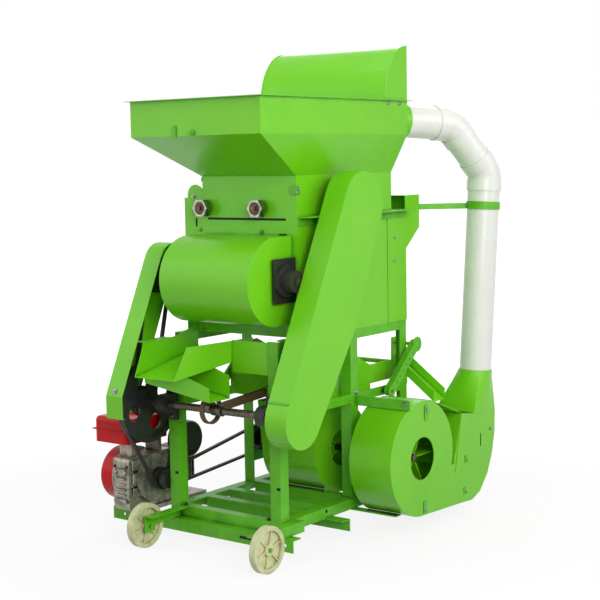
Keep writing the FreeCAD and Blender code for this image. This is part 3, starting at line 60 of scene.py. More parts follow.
# Camera, solved from the photograph's parallel edges: place, angles in degrees, lens and sensor in mm
cameraPlan = {
    "place": (2520, -3295.2, 1215.9),
    "azimuth": 37.35,
    "pitch": 5.93,
    "roll": -1.07,
    "lens": 81.6,
    "sensor": 36.0,
}


def makeCamera(plan):
    azimuth, pitch, roll = (math.radians(plan[k]) for k in ("azimuth", "pitch", "roll"))
    level = math.cos(pitch)
    back = Vector((math.sin(azimuth) * level, -math.cos(azimuth) * level, math.sin(pitch)))
    right = Vector((0, 0, 1)).cross(back).normalized()
    up = back.cross(right)
    rolledRight = right * math.cos(roll) + up * math.sin(roll)
    rolledUp = up * math.cos(roll) - right * math.sin(roll)
    data = bpy.data.cameras.new("camera")
    data.lens = plan["lens"]
    data.sensor_width = plan["sensor"]
    camera = bpy.data.objects.new("camera", data)
    bpy.context.scene.collection.objects.link(camera)
    turn = camera.matrix_world.to_3x3()
    for column, axis in enumerate((rolledRight, rolledUp, back)):
        for row in range(3):
            turn[row][column] = axis[row]
    camera.matrix_world = turn.to_4x4()
    camera.location = spot(*plan["place"])
    bpy.context.scene.camera = camera


makeCamera(cameraPlan)
bpy.context.scene.view_settings.view_transform = "Standard"


def addNode(tree, kind, inputs=None, **settings):
    # One node with its settings, its fixed values and its links
    node = tree.nodes.new(kind)
    for name, value in settings.items():
        setattr(node, name, value)
    for name, value in (inputs or {}).items():
        if isinstance(value, bpy.types.NodeSocket):
            tree.links.new(value, node.inputs[name])
        else:
            node.inputs[name].default_value = value
    return node


# Lamps: place, size in metres, power in watts. All of them face the same point of the machine.
lampPlan = {
    "keyLamp": ((2900, -1900, 2000), 2.6, 84.0),
    "sideLamp": ((2600, 1100, 1900), 2.0, 22.0),
    "topLamp": ((-300, -700, 3400), 2.2, 30.0),
    "fillLamp": ((-2600, -1800, 1700), 2.6, 18.0),
    "rearLamp": ((-900, 2600, 2200), 2.2, 34.0),
}
lampAim = spot(-200, 200, 700)
for lampName, (place, size, power) in lampPlan.items():
    lampData = bpy.data.lights.new(lampName, "AREA")
    lampData.shape = "DISK"
    lampData.size = size
    lampData.energy = power
    lamp = bpy.data.objects.new(lampName, lampData)
    lamp.location = spot(*place)
    lamp.rotation_mode = "QUATERNION"
    lamp.rotation_quaternion = (lampAim - lamp.location).to_track_quat("-Z", "Y")
    bpy.context.scene.collection.objects.link(lamp)


def directRays(tree):
    # The light path node, and 1 for rays that come from the camera or a mirror-like surface, 0 for others
    rays = addNode(tree, "ShaderNodeLightPath")
    seen = addNode(tree, "ShaderNodeMath",
                   {0: rays.outputs["Is Camera Ray"], 1: rays.outputs["Is Glossy Ray"]}, operation="MAXIMUM")
    return rays, seen.outputs[0]


# White studio: what is seen of the room is white, and what it lights with is soft and weaker
roomPlan = {"tint": "#EEF1F4", "strength": 0.3}
pureWhite = (1.0, 1.0, 1.0, 1.0)
world = bpy.data.worlds.new("studio")
bpy.context.scene.world = world
world.use_nodes = True
roomTree = world.node_tree
roomTree.nodes.clear()
rays, seenDirect = directRays(roomTree)
seenAll = addNode(roomTree, "ShaderNodeMath", {0: seenDirect, 1: rays.outputs["Is Transmission Ray"]},
                  operation="MAXIMUM")
roomLight = addNode(roomTree, "ShaderNodeBackground",
                    {"Color": linear(roomPlan["tint"]), "Strength": roomPlan["strength"]})
whiteRoom = addNode(roomTree, "ShaderNodeBackground", {"Color": pureWhite, "Strength": 1.0})
roomMix = addNode(roomTree, "ShaderNodeMixShader",
                  {0: seenAll.outputs[0], 1: roomLight.outputs[0], 2: whiteRoom.outputs[0]})
addNode(roomTree, "ShaderNodeOutputWorld", {"Surface": roomMix.outputs[0]})

# Pale painted floor, in metres: for the camera part of its white is its own, near the machine less and far
# away all of it, so that the shadow stays and no edge of the floor shows
floorPlan = {"half": 30.0, "paint": "#B4B4B2", "nearShare": 0.72, "nearReach": 0.9, "farReach": 3.2,
             "glow": 1.2}
floorHalf = floorPlan["half"]
floorCorners = [(x * floorHalf, y * floorHalf, 0) for x, y in ((-1, -1), (1, -1), (1, 1), (-1, 1))]
floorMesh = bpy.data.meshes.new("floor")
floorMesh.from_pydata(floorCorners, [], [(0, 1, 2, 3)])
floor = bpy.data.objects.new("floor", floorMesh)
bpy.context.scene.collection.objects.link(floor)
floorPaint = bpy.data.materials.new("paleFloor")
floorPaint.use_nodes = True
floorTree = floorPaint.node_tree
floorTree.nodes.clear()
_, floorSeen = directRays(floorTree)
floorPlace = addNode(floorTree, "ShaderNodeTexCoord").outputs["Object"]
floorReach = addNode(floorTree, "ShaderNodeVectorMath", {0: floorPlace}, operation="LENGTH")
floorFade = addNode(floorTree, "ShaderNodeMapRange",
                    {"Value": floorReach.outputs["Value"], "From Min": floorPlan["nearReach"],
                     "From Max": floorPlan["farReach"], "To Min": floorPlan["nearShare"], "To Max": 1.0},
                    interpolation_type="SMOOTHSTEP")
floorShare = addNode(floorTree, "ShaderNodeMath", {0: floorSeen, 1: floorFade.outputs[0]},
                     operation="MULTIPLY")
floorLit = addNode(floorTree, "ShaderNodeBsdfDiffuse", {"Color": linear(floorPlan["paint"])})
floorOwn = addNode(floorTree, "ShaderNodeEmission", {"Color": pureWhite, "Strength": floorPlan["glow"]})
floorMix = addNode(floorTree, "ShaderNodeMixShader",
                   {0: floorShare.outputs[0], 1: floorLit.outputs[0], 2: floorOwn.outputs[0]})
addNode(floorTree, "ShaderNodeOutputMaterial", {"Surface": floorMix.outputs[0]})
floorMesh.materials.append(floorPaint)
print("camera and light made")

# What all materials share: detail and roughness of each noise, the part of it that is used, how much of the
# corners' painted shade and dirt doesn't follow the patches, and the number of rays that look for corners
noisePlan = {
    "patches": {"Detail": 5.0, "Roughness": 0.62},
    "grain": {"Detail": 3.0, "Roughness": 0.55},
    "waves": {"Detail": 1.0, "Roughness": 0.4},
    "patchRange": (0.34, 0.66),
    "grainRange": (0.3, 0.7),
    "cornerRange": (0.25, 0.8),
    "evenShadeAndDirt": 0.55,
    "cornerRays": 6,
}

# Sockets of a colour mix, by number because their names repeat
mixFactor, mixFirst, mixSecond, mixResult = 0, 6, 7, 2


def addNoise(tree, where, size, kind):
    # Noise whose largest forms have the size in millimetres
    inputs = {"Vector": where, "Scale": 1000 / size, **noisePlan[kind]}
    return addNode(tree, "ShaderNodeTexNoise", inputs).outputs[0]


def addRange(tree, value, kind, low, high):
    # The used part of a value, spread evenly from low to high
    first, last = noisePlan[kind]
    inputs = {"Value": value, "From Min": first, "From Max": last, "To Min": low, "To Max": high}
    return addNode(tree, "ShaderNodeMapRange", inputs).outputs[0]


def addMix(tree, factor, first, second):
    inputs = {mixFactor: factor, mixFirst: first, mixSecond: second}
    return addNode(tree, "ShaderNodeMix", inputs, data_type="RGBA").outputs[mixResult]


def addBump(tree, height, strength, depth, **more):
    # Depth of the relief in millimetres
    inputs = {"Height": height, "Strength": strength, "Distance": depth / 1000, **more}
    return addNode(tree, "ShaderNodeBump", inputs).outputs[0]


def makeMaterial(name, plan):
    # Colour drifts between a clean and a dull tone over patches, corners that the occlusion rays find shut
    # get a painted shade mixed with a dirt tone, and a fine grain breaks the gloss and lifts the surface a
    # little. Sizes are in millimetres.
    material = bpy.data.materials.new(name)
    material.use_nodes = True
    tree = material.node_tree
    shader = tree.nodes["Principled BSDF"]
    where = addNode(tree, "ShaderNodeTexCoord").outputs["Object"]
    if "stretch" in plan:
        where = addNode(tree, "ShaderNodeMapping", {"Vector": where, "Scale": plan["stretch"]}).outputs[0]
    patches = addRange(tree, addNoise(tree, where, plan["patchSize"], "patches"), "patchRange", 0.0, 1.0)
    colour = addMix(tree, patches, linear(plan["colour"]), linear(plan["dull"]))
    grain = addNoise(tree, where, plan["grainSize"], "grain")
    if "shadeAndDirt" in plan:
        corner = addNode(tree, "ShaderNodeAmbientOcclusion", {"Distance": plan["shadeAndDirtReach"] / 1000},
                         samples=noisePlan["cornerRays"], only_local=False)
        shut = addRange(tree, corner.outputs["AO"], "cornerRange", plan["shadeAndDirtMost"], 0.0)
        # share of painted corner shade and dirt = how shut the corner is x (the patches + the even part)
        patchy = addNode(tree, "ShaderNodeMath", {0: shut, 1: patches}, operation="MULTIPLY")
        share = addNode(tree, "ShaderNodeMath", {0: shut, 1: noisePlan["evenShadeAndDirt"], 2: patchy.outputs[0]},
                        operation="MULTIPLY_ADD", use_clamp=True)
        colour = addMix(tree, share.outputs[0], colour, linear(plan["shadeAndDirt"]))
    tree.links.new(colour, shader.inputs["Base Color"])
    tree.links.new(addRange(tree, grain, "grainRange", *plan["roughness"]), shader.inputs["Roughness"])
    metallic = plan.get("metallic", 0.0)
    shader.inputs["Metallic"].default_value = metallic
    if metallic < 0.5:
        shader.inputs["IOR"].default_value = plan.get("ior", 1.5)
    shader.inputs["Specular IOR Level"].default_value = plan.get("specular", 0.5)
    shader.inputs["Coat Weight"].default_value = plan.get("coat", 0.0)
    shader.inputs["Coat Roughness"].default_value = plan.get("coatRoughness", 0.1)
    normal = addBump(tree, grain, plan["lift"], plan["liftDepth"])
    if "waveSize" in plan:
        waves = addNoise(tree, where, plan["waveSize"], "waves")
        normal = addBump(tree, waves, 1.0, plan["waveDepth"], Normal=normal)
    tree.links.new(normal, shader.inputs["Normal"])
    return material


materialPlan = {
    # Alkyd enamel sprayed on sheet steel: lime green, glossy, faint orange peel, the sheet slightly wavy,
    # painted shade darkening its corners
    "limeEnamel": {
        "colour": "#76CE18", "dull": "#6FC915", "patchSize": 180, "grainSize": 2.6, "lift": 0.3,
        "liftDepth": 0.2, "roughness": (0.24, 0.36), "specular": 0.34, "coat": 0.06, "coatRoughness": 0.12,
        "waveSize": 110, "waveDepth": 1.2, "shadeAndDirt": "#2C5A14", "shadeAndDirtReach": 16, "shadeAndDirtMost": 0.75},
    # The same enamel on angle steel near the floor: duller, its corners darkened by painted shade and by dust
    # and oil
    "frameEnamel": {
        "colour": "#66C01C", "dull": "#58AE17", "patchSize": 60, "grainSize": 3.2, "lift": 0.45,
        "liftDepth": 0.3, "roughness": (0.3, 0.46), "specular": 0.36, "coat": 0.04, "coatRoughness": 0.2,
        "shadeAndDirt": "#27491A", "shadeAndDirtReach": 22, "shadeAndDirtMost": 0.9},
    # Red stoving enamel on the engine's pressed covers: deep, smooth and very glossy, painted shade darkening
    # its corners
    "redEnamel": {
        "colour": "#DA0C10", "dull": "#C40A0E", "patchSize": 90, "grainSize": 2.0, "lift": 0.2,
        "liftDepth": 0.15, "roughness": (0.18, 0.28), "specular": 0.18, "coat": 0.03, "coatRoughness": 0.06,
        "shadeAndDirt": "#3A0A10", "shadeAndDirtReach": 10, "shadeAndDirtMost": 0.7},
    # Die-cast aluminium: matt grey skin from the die, dark in its corners with painted shade and the oil and
    # dust that stay there
    "castAlloy": {
        "colour": "#B0AC9C", "dull": "#7A7566", "patchSize": 24, "grainSize": 1.6, "lift": 0.5,
        "liftDepth": 0.3, "roughness": (0.38, 0.56), "metallic": 0.75, "shadeAndDirt": "#25221D", "shadeAndDirtReach": 14,
        "shadeAndDirtMost": 0.95},
    # Black paint on cast pulleys and the muffler, thin and oily: grey lights, brownish dust
    "blackPaint": {
        "colour": "#1B1B1C", "dull": "#2C2A28", "patchSize": 26, "grainSize": 2.2, "lift": 0.4,
        "liftDepth": 0.25, "roughness": (0.28, 0.5), "shadeAndDirt": "#3A332B", "shadeAndDirtReach": 10, "shadeAndDirtMost": 0.6},
    # Grey iron sand casting with a black primer: coarse grain and a dull shine
    "castIron": {
        "colour": "#232425", "dull": "#35332F", "patchSize": 18, "grainSize": 1.4, "lift": 0.8,
        "liftDepth": 0.5, "roughness": (0.42, 0.62), "metallic": 0.3},
    # Moulded chloroprene belt: soft black, dusty on its flanks
    "beltRubber": {
        "colour": "#161616", "dull": "#262523", "patchSize": 14, "grainSize": 0.9, "lift": 0.5,
        "liftDepth": 0.2, "roughness": (0.55, 0.75)},
    # Extruded PVC drain pipe: white with a warm tint, a soft satin shine, and painted shade with faint dust
    # in its corners
    "whitePvc": {
        "colour": "#ECECE6", "dull": "#E6E6DF", "patchSize": 160, "grainSize": 6.0, "lift": 0.05,
        "liftDepth": 0.1, "roughness": (0.2, 0.3), "ior": 1.53, "shadeAndDirt": "#8A8A72", "shadeAndDirtReach": 9,
        "shadeAndDirtMost": 0.4},
    # Injection-moulded nylon wheel: ivory, slightly waxy, darker near the floor and in its corners with
    # painted shade and soil
    "ivoryNylon": {
        "colour": "#DEDFB0", "dull": "#C4C68E", "patchSize": 30, "grainSize": 2.0, "lift": 0.3,
        "liftDepth": 0.2, "roughness": (0.34, 0.5), "ior": 1.53, "shadeAndDirt": "#6E6238", "shadeAndDirtReach": 12,
        "shadeAndDirtMost": 0.7},
    # Turned mild steel with old oil on it: brownish grey, in patches, its corners darkened by painted shade
    # and oil
    "oiledSteel": {
        "colour": "#6E665A", "dull": "#4A4034", "patchSize": 20, "grainSize": 1.2, "lift": 0.3,
        "liftDepth": 0.12, "roughness": (0.28, 0.46), "metallic": 0.85, "shadeAndDirt": "#1D1813", "shadeAndDirtReach": 10,
        "shadeAndDirtMost": 0.8},
    # Zinc-plated fasteners: bright, a little blue, with water marks
    "zincPlate": {
        "colour": "#A8AAAB", "dull": "#74767A", "patchSize": 9, "grainSize": 1.0, "lift": 0.2,
        "liftDepth": 0.08, "roughness": (0.2, 0.34), "metallic": 1.0},
    # Chrome-plated nuts turned by hand: mirror-like, slightly hazed, painted shade darkening their corners
    "chromePlate": {
        "colour": "#A9A9A6", "dull": "#6E6C68", "patchSize": 12, "grainSize": 1.0, "lift": 0.1,
        "liftDepth": 0.05, "roughness": (0.18, 0.34), "metallic": 1.0, "shadeAndDirt": "#2A2622", "shadeAndDirtReach": 8,
        "shadeAndDirtMost": 0.8},
    # Bare steel in the sockets of the hand nuts, rusted brown and rough
    "rustedSteel": {
        "colour": "#7A5A44", "dull": "#4E3426", "patchSize": 7, "grainSize": 1.0, "lift": 0.6,
        "liftDepth": 0.25, "roughness": (0.5, 0.72), "metallic": 0.6},
    # Brass of the small clip on the starter cover: dull yellow
    "dullBrass": {
        "colour": "#9C7A38", "dull": "#6E5426", "patchSize": 6, "grainSize": 0.8, "lift": 0.2,
        "liftDepth": 0.08, "roughness": (0.3, 0.45), "metallic": 1.0},
    # Near-black matt paint on thin plates on the sheets: a painted shade standing in for the unlit inside
    # seen through slots and gaps
    "paintedGapShade": {
        "colour": "#0B160A", "dull": "#050805", "patchSize": 30, "grainSize": 3.0, "lift": 0.1,
        "liftDepth": 0.1, "roughness": (0.8, 0.95)},
    # Oiled beech drive rod: brown, with grain lines along it
    "oiledBeech": {
        "colour": "#6B4A2A", "dull": "#4B301A", "patchSize": 8, "grainSize": 1.5, "lift": 0.4,
        "liftDepth": 0.2, "roughness": (0.45, 0.6), "stretch": (6.0, 0.4, 6.0)},
}
materials = {name: makeMaterial(name, plan) for name, plan in materialPlan.items()}

finishes = {
    "limeEnamel": ("side_panels", "front_panel", "feed_box", "hopper", "feed_gate", "hood", "rotor_cover",
                   "belt_guard_right", "belt_guard_left", "winnower_casing", "winnower_paddles",
                   "blower_impeller", "blower_casing", "scoop", "scoop_lid", "upper_chute", "discharge_spout",
                   "guide_plates", "rear_box", "shaker_deck"),
    "frameEnamel": ("foot_rails", "base_rails", "posts", "upper_members", "bearing_shelf", "stays",
                    "rear_rockers", "front_rockers", "wheel_brackets", "pipe_strap"),
    "redEnamel": ("recoil_cover", "fuel_tank"),
    "castAlloy": ("engine_block",),
    "blackPaint": ("fuel_cap", "engine_muffler", "crank_pulley", "countershaft_pulleys", "upper_pulley",
                   "lower_rotor_pulley", "fan_pulley"),
    "castIron": ("rotor_bearings", "pillow_blocks"),
    "beltRubber": ("drive_belts",),
    "whitePvc": ("delivery_pipes", "pipe_elbows"),
    "ivoryNylon": ("wheel_front_right", "wheel_front_left", "wheel_rear_right", "wheel_rear_left"),
    "oiledSteel": ("countershaft", "fan_shaft", "eccentric", "upper_rotor", "lower_rotor", "fixed_pins",
                   "upper_concave", "lower_concave"),
    "chromePlate": ("hand_nut_left", "hand_nut_right"),
    "oiledBeech": ("connecting_rod",),
}
for finish, nodeNames in finishes.items():
    for nodeName in nodeNames:
        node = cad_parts[nodeName]
        node.data.materials.clear()
        node.data.materials.append(materials[finish])
print("materials given:", sum(len(nodeNames) for nodeNames in finishes.values()), "nodes")


# Surfaces of the small pieces are worked out in millimetres from the machine's zero
def turnedRows(place, axis, profile, sides, twist=0.0):
    # Turned or many-sided form: each row of the profile gives how far along the axis its ring lies and the
    # ring's radius, and each point of a ring is that radius times (cosine across + sine upward)
    axis = np.array(axis, float) / np.linalg.norm(axis)
    reference = np.array([0.0, 0.0, 1.0]) if abs(axis[2]) < 0.9 else np.array([1.0, 0.0, 0.0])
    across = np.cross(reference, axis)
    across /= np.linalg.norm(across)
    upward = np.cross(axis, across)
    turn = twist + 2 * np.pi * np.arange(sides) / sides
    ring = np.cos(turn)[:, None] * across + np.sin(turn)[:, None] * upward
    steps, radii = np.array(profile, float).T
    return np.array(place, float) + steps[:, None, None] * axis + radii[:, None, None] * ring


# Plates: points round the outline, and the least straight part of a side
slabPlan = {"points": 24, "straight": 0.1}


def slabRows(centre, across, along, width, length, thick, corner=3.0, edge=0.5):
    # Flat plate with round corners: the outline is four corner arcs, pulled in by the edge radius on the
    # first and last rows, and each end row shrinks to the middle
    across, along = (np.array(v, float) / np.linalg.norm(v) for v in (across, along))
    outward = np.cross(across, along)
    turn = 2 * np.pi * (np.arange(slabPlan["points"]) + 0.5) / slabPlan["points"]
    cosine, sine = np.cos(turn), np.sin(turn)
    corner = min(corner, width / 2 - slabPlan["straight"], length / 2 - slabPlan["straight"])
    rows = []
    for height, pull, spread in ((0, edge, 0), (0, edge, 1), (edge, 0, 1), (thick - edge, 0, 1),
                                 (thick, edge, 1), (thick, edge, 0)):
        flat = np.sign(cosine) * (width / 2 - corner) + (corner - pull) * cosine
        tall = np.sign(sine) * (length / 2 - corner) + (corner - pull) * sine
        rows.append(spread * (flat[:, None] * across + tall[:, None] * along) + height * outward)
    return np.array(centre, float) + np.array(rows)


def beadRows(path, radius, closed=False, sides=8):
    # Round bead along a path: at each point a circle in the plane across the path's direction, made from
    # the direction crossed with a fixed reference; an open bead gets a point at each end
    path = np.array(path, float)
    ahead = np.roll(path, -1, axis=0) - np.roll(path, 1, axis=0) if closed else np.gradient(path, axis=0)
    ahead /= np.linalg.norm(ahead, axis=1)[:, None]
    spread = np.ptp(ahead, axis=0)
    reference = np.eye(3)[int(np.argmin(spread + np.abs(ahead).max(axis=0)))]
    side = np.cross(ahead, reference)
    side /= np.linalg.norm(side, axis=1)[:, None]
    over = np.cross(side, ahead)
    turn = 2 * np.pi * np.arange(sides) / sides
    circle = np.cos(turn)[None, :, None] * side[:, None, :] + np.sin(turn)[None, :, None] * over[:, None, :]
    rows = path[:, None, :] + radius * circle
    if not closed:
        ends = [np.repeat(path[i][None, None, :], sides, axis=1) for i in (0, -1)]
        rows = np.concatenate([ends[0], rows, ends[1]])
    return rows


def arc(centre, across, upward, radius, span, count):
    # Points on an arc of a circle or ellipse, over a span in degrees: centre + radius x (cosine across +
    # sine upward)
    turn = np.radians(np.linspace(*span, count))[:, None]
    wide, tall = radius if isinstance(radius, tuple) else (radius, radius)
    sideways = wide * np.cos(turn) * np.array(across)
    return np.array(centre, float) + sideways + tall * np.sin(turn) * np.array(upward)


# Distance in metres at which two points are one, and degrees from which an edge is sharp
meshPlan = {"merge": 1e-6, "sharp": 38}


def makePiece(name, surfaces, finish, body):
    # All rows of all surfaces go into one mesh: neighbouring points of neighbouring rows make a quad, and a
    # wrapped surface also joins its last row to its first
    corners, quads, first = [], [], 0
    for rows, wrapped in surfaces:
        count, sides = rows.shape[:2]
        index = first + np.arange(count * sides).reshape(count, sides)
        low = index if wrapped else index[:-1]
        high = np.roll(index, -1, axis=0) if wrapped else index[1:]
        quad = np.stack([low, np.roll(low, -1, axis=1), np.roll(high, -1, axis=1), high], -1)
        quads.append(quad.reshape(-1, 4))
        corners.append(rows.reshape(-1, 3))
        first += count * sides
    mesh = bpy.data.meshes.new(name)
    points = np.concatenate(corners) / 1000 + np.array(machineZero)
    mesh.from_pydata(points.tolist(), [], np.concatenate(quads).tolist())
    work = bmesh.new()
    work.from_mesh(mesh)
    bmesh.ops.remove_doubles(work, verts=work.verts, dist=meshPlan["merge"])
    bmesh.ops.dissolve_degenerate(work, edges=work.edges, dist=meshPlan["merge"])
    bmesh.ops.recalc_face_normals(work, faces=work.faces)
    work.to_mesh(mesh)
    work.free()
    mesh.shade_smooth()
    mesh.set_sharp_from_angle(angle=math.radians(meshPlan["sharp"]))
    mesh.materials.append(materials[finish])
    piece = bpy.data.objects.new(name, mesh)
    bpy.context.scene.collection.objects.link(piece)
    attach(piece, body)


surfaceTrees = {}
facings = {"front": (0, -1, 0), "right": (1, 0, 0), "top": (0, 0, 1), "back": (0, 1, 0)}
seatReach = 60.0


def seat(nodeName, place, facing):
    # Nearest point of a part, seen from outside along the facing, and the way its surface faces there
    if nodeName not in surfaceTrees:
        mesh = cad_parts[nodeName].data
        faces = [tuple(p.vertices) for p in mesh.polygons]
        surfaceTrees[nodeName] = BVHTree.FromPolygons([v.co.copy() for v in mesh.vertices], faces)
    outward = Vector(facings[facing])
    start = spot(*place) + outward * seatReach / 1000
    hit, normal, _, _ = surfaceTrees[nodeName].ray_cast(start, -outward)
    if hit is None:
        print("no seat on", nodeName, place)
        return np.array(place, float), np.array(outward)
    if normal.dot(outward) < 0:
        normal = -normal
    return np.array((hit - machineZero) * 1000), np.array(normal)


# A bolt's profiles, as shares of its head's corner radius: step along the axis and radius
boltShape = {
    "washer": [(0, 0), (0, 1.3), (0.2, 1.3), (0.26, 1.22), (0.26, 0)],
    "head": [(0.2, 0), (0.2, 1), (0.82, 1), (0.98, 0.82), (0.98, 0)],
    "stud": [(0.9, 0), (0.9, 0.5), (1.42, 0.5), (1.52, 0.38), (1.52, 0)],
    "washerSides": 18,
    "headSides": 6,
    "headTwist": 0.3,
    "studSides": 12,
}


def boltSurfaces(place, axis, size, stud=True):
    # Washer, six-sided head with a turned top, and the stud's end; size is the head's corner radius
    washer, head, end = (np.array(boltShape[part]) * size for part in ("washer", "head", "stud"))
    parts = [turnedRows(place, axis, washer, boltShape["washerSides"]),
             turnedRows(place, axis, head, boltShape["headSides"], boltShape["headTwist"])]
    if stud:
        parts.append(turnedRows(place, axis, end, boltShape["studSides"]))
    return [(rows, False) for rows in parts]


# Bolts and nuts: part that carries them, place, the way they face, corner radius of the head
boltPlan = {
    "platedBolts": {"finish": "zincPlate", "bolts": [
        ("hopper", (67, 407, 1389), "right", 5.0),
        ("hopper", (67, 472, 1388), "right", 5.0),
        ("feed_box", (-417.4, 0, 1099.4), "front", 6.5),
        ("side_panels", (4, 531.6, 948.3), "right", 5.0),
        ("side_panels", (4, 529.9, 867.5), "right", 5.0),
        ("belt_guard_left", (-505, -296, 500), "front", 7.0),
        ("stays", (190, 296, 432), "front", 6.5),
        ("scoop", (202, 826, 265.4), "right", 5.0),
        ("pipe_strap", (-20, 740, 1043), "back", 5.5),
        ("posts", (-2, 300, 455), "right", 6.0),
        ("posts", (-2, -90, 640), "right", 6.0),
    ]},
    "paintedBolts": {"finish": "frameEnamel", "bolts": [
        ("hopper", (-191, -252, 1299), "front", 8.0),
        ("front_panel", (-389.2, -2, 995), "front", 5.5),
        ("front_panel", (-136.9, -2, 992.9), "front", 5.5),
        ("front_panel", (-387.4, -2, 672), "front", 5.5),
        ("scoop", (202, 660, 184.7), "right", 4.5),
        ("scoop", (202, 655.4, 74.5), "right", 4.5),
        ("scoop_lid", (170, 560, 392), "top", 5.0),
        ("scoop_lid", (70, 560, 392), "top", 5.0),
    ]},
    "oiledBolts": {"finish": "oiledSteel", "bolts": [
        ("pillow_blocks", (-430, -120, 402), "front", 7.5),
        ("pillow_blocks", (-430, -120, 488), "front", 7.5),
        ("pillow_blocks", (-22, -120, 402), "front", 7.5),
        ("pillow_blocks", (-22, -120, 488), "front", 7.5),
        ("base_rails", (-60, -95, 112), "top", 6.5),
        ("base_rails", (-400, -95, 112), "top", 6.5),
        ("base_rails", (-20, 381, 112), "top", 6.5),
        ("engine_block", (-610, -205, 232), "front", 5.0),
        ("engine_block", (-557, -205, 232), "front", 5.0),
        ("engine_block", (-610, -205, 118), "front", 5.0),
        ("engine_block", (-557, -205, 118), "front", 5.0),
    ]},
}
for pieceName, plan in boltPlan.items():
    surfaces = []
    for nodeName, place, facing, size in plan["bolts"]:
        surfaces += boltSurfaces(*seat(nodeName, place, facing), size)
    makePiece(pieceName, surfaces, plan["finish"], "frame")
print("bolts made:", sum(len(plan["bolts"]) for plan in boltPlan.values()))

# Tabs, lugs, plates of painted gap shade and small plates: part that carries them, place, facing, width,
# height, thickness
tabPlan = {
    # The tabs take the darker frame enamel: a painted shade for tabs bent away from the light
    "paintedTabs": {"finish": "frameEnamel", "plates": [
        ("hopper", (-263, -252, 1300), "front", 13, 42, 5),
        ("hopper", (-4, -2, 1120), "front", 40, 26, 4),
        ("blower_casing", (200, 407, 389), "right", 22, 50, 3),
        ("blower_casing", (200, 396, 78), "right", 20, 40, 3),
        ("scoop", (202, 655, 190), "right", 16, 26, 2),
        ("scoop", (202, 651, 80), "right", 16, 26, 2),
        ("belt_guard_right", (85, -216, 505), "front", 76, 7, 2.5),
    ]},
    # Thin near-black plates laid on the sheet: painted shade where slots and gaps would show the dark inside
    "gapShadePlates": {"finish": "paintedGapShade", "plates": [
        ("front_panel", (-199.5, -2, 1031), "front", 316, 7, 0.6),
        ("front_panel", (-407, -2, 1018), "front", 7, 28, 0.6),
        ("front_panel", (-54.5, -2, 981), "front", 30, 12, 0.6),
        ("scoop", (202, 759.5, 238), "right", 5, 46, 0.6),
        ("posts", (-426.2, -108, 213.4), "front", 15, 9, 0.6),
        ("posts", (-8, -108, 213.4), "front", 15, 9, 0.6),
        ("base_rails", (0, 125.2, 95), "right", 11, 11, 0.6),
        ("foot_rails", (-113, -138, 52), "front", 60, 9, 0.6),
    ]},
}
for pieceName, plan in tabPlan.items():
    surfaces = []
    for nodeName, place, facing, width, height, thick in plan["plates"]:
        middle, normal = seat(nodeName, place, facing)
        upward = np.array([0.0, 0.0, 1.0]) - normal * normal[2]
        surfaces.append((slabRows(middle, np.cross(upward, normal), upward, width, height, thick), False))
    makePiece(pieceName, surfaces, plan["finish"], "frame")

# Bolts on the tabs: place, the way they face, corner radius of the head
tabBoltPlan = {"finish": "zincPlate", "bolts": [
    ((203, 408, 397), "right", 5.5), ((203, 396, 70), "right", 5.0), ((10, -5, 1116), "front", 5.5)]}
surfaces = []
for place, facing, size in tabBoltPlan["bolts"]:
    surfaces += boltSurfaces(place, facings[facing], size)
makePiece("tabBolts", surfaces, tabBoltPlan["finish"], "frame")
print("tabs and slots made")

# Rolled edges of the hood's two sides: a quarter of an ellipse, as far forward and up as the hood goes
hoodPlan = {"sides": (-444.0, 66.0), "back": 520.0, "foot": 1400.0, "depth": 131.0, "height": 176.0,
            "radius": 2.2, "span": (2, 90), "points": 24}
surfaces = []
for x in hoodPlan["sides"]:
    curve = arc((x, hoodPlan["back"], hoodPlan["foot"]), (0, -1, 0), (0, 0, 1),
                (hoodPlan["depth"], hoodPlan["height"]), hoodPlan["span"], hoodPlan["points"])
    surfaces.append((beadRows(curve, hoodPlan["radius"]), False))
makePiece("hoodEdges", surfaces, "limeEnamel", "frame")

# Rims on the blower's face, round its inlet and along its drum
blowerPlan = {"face": (199.6, 383.0, 242.0), "inlet": 71.0, "drum": 187.6, "radius": 1.6,
              "inletSpan": (0, 352.5), "drumSpan": (78, 268), "points": 48}
inletRim, drumRim = (arc(blowerPlan["face"], (0, 1, 0), (0, 0, 1), blowerPlan[part],
                         blowerPlan[part + "Span"], blowerPlan["points"]) for part in ("inlet", "drum"))
surfaces = [(beadRows(inletRim, blowerPlan["radius"], True), True),
            (beadRows(drumRim, blowerPlan["radius"]), False)]
makePiece("blowerRims", surfaces, "limeEnamel", "frame")
print("edges made")

# Hand nuts: a rusted ring in the socket of each nut, round the threaded rod
nutPlan = {"xs": {"nut_left": -362.0, "nut_right": -137.0}, "z": 1065.0, "front": -38.0, "sides": 32,
           "profile": [(-0.5, 9), (-0.5, 20.5), (0.4, 20.5), (1.2, 18.5), (0.5, 13), (0.2, 9)]}
for bodyName, x in nutPlan["xs"].items():
    ring = turnedRows((x, nutPlan["front"], nutPlan["z"]), (0, -1, 0), nutPlan["profile"], nutPlan["sides"])
    makePiece(bodyName + "_socket", [(ring, True)], "rustedSteel", bodyName)

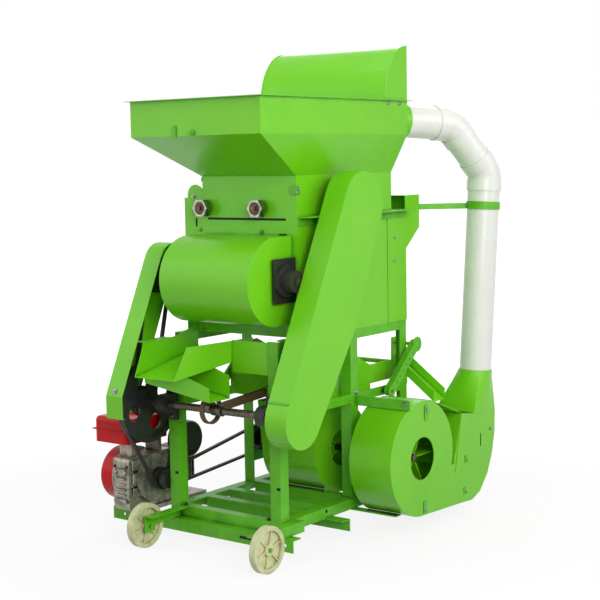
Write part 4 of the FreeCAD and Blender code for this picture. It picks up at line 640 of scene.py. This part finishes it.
# Engine castings: the machined ring of the flywheel housing, round the crankshaft; on the crankcase's front
# ribs, plates and two studs; on its right side cover panels. Front plates: height of the middle, width,
# height, lift, corner. Side panels: depth and height of the middle, width, height, lift.
castingPlan = {
    "ringPlace": (-639.0, -100.0, 184.0),
    "ringSides": 56,
    "ringProfile": [(0, 70), (0, 91.5), (2, 93.5), (7, 93.5), (8, 90.5), (13, 90.5), (14, 93.5),
                    (20.5, 93.5), (20.5, 70)],
    "frontX": -583.5,
    "frontY": -205.0,
    "frontPlates": [(138, 43, 5, 5, 2), (156, 43, 5, 5, 2), (174, 43, 5, 5, 2), (192, 43, 5, 5, 2),
                    (214, 47, 22, 6, 4), (120, 51, 12, 7, 3)],
    "studXs": (-603, -564),
    "studZ": 214,
    "studSides": 20,
    "studProfile": [(0, 0), (0, 8), (10, 8), (12, 6), (12, 0)],
    "sideX": -548.0,
    "sideCorner": 6,
    "sideEdge": 1.2,
    "sidePanels": [(-168, 236, 52, 34, 7), (-170, 190, 46, 40, 9), (-168, 146, 50, 30, 7),
                   (-40, 232, 60, 30, 6), (-34, 140, 50, 40, 6)],
}
rightward, forward, rearward, upright = (1, 0, 0), (0, -1, 0), (0, 1, 0), (0, 0, 1)
ring = turnedRows(castingPlan["ringPlace"], rightward, castingPlan["ringProfile"], castingPlan["ringSides"])
surfaces = [(ring, True)]
for z, width, height, lift, corner in castingPlan["frontPlates"]:
    middle = (castingPlan["frontX"], castingPlan["frontY"], z)
    surfaces.append((slabRows(middle, rightward, upright, width, height, lift, corner), False))
for x in castingPlan["studXs"]:
    stud = turnedRows((x, castingPlan["frontY"], castingPlan["studZ"]), forward, castingPlan["studProfile"],
                      castingPlan["studSides"])
    surfaces.append((stud, False))
for y, z, width, height, lift in castingPlan["sidePanels"]:
    panel = slabRows((castingPlan["sideX"], y, z), rearward, upright, width, height, lift,
                     castingPlan["sideCorner"], castingPlan["sideEdge"])
    surfaces.append((panel, False))
makePiece("crankcaseCastings", surfaces, "castAlloy", "frame")

# Screws on the crankcase's right side: depth and height of each
screwPlan = {"x": -548.0, "size": 4.5, "places": [
    (-190, 252), (-146, 252), (-188, 214), (-146, 214), (-190, 168), (-190, 128), (-146, 128), (-12, 246),
    (-66, 246), (-14, 118), (-56, 118)]}
surfaces = []
for y, z in screwPlan["places"]:
    middle, _ = seat("engine_block", (screwPlan["x"], y, z), "right")
    surfaces += boltSurfaces(middle, rightward, screwPlan["size"], False)
makePiece("crankcaseBolts", surfaces, "zincPlate", "frame")

# Brass clip on the starter: a closed ring and a bent stem
clipPlan = {"ring": (-640, -176, 218), "ringRadius": 7.0, "ringSpan": (0, 345), "ringPoints": 24,
            "ringWire": 1.8, "stem": (-650, -178, 210), "stemRadii": (14.0, 5.0), "stemSpan": (0, 180),
            "stemPoints": 12, "stemWire": 2.2}
clipRing = arc(clipPlan["ring"], rightward, upright, clipPlan["ringRadius"], clipPlan["ringSpan"],
               clipPlan["ringPoints"])
clipStem = arc(clipPlan["stem"], rightward, upright, clipPlan["stemRadii"], clipPlan["stemSpan"],
               clipPlan["stemPoints"])
surfaces = [(beadRows(clipRing, clipPlan["ringWire"], True), True),
            (beadRows(clipStem, clipPlan["stemWire"]), False)]
makePiece("starterClip", surfaces, "dullBrass", "frame")
print("engine pieces made")
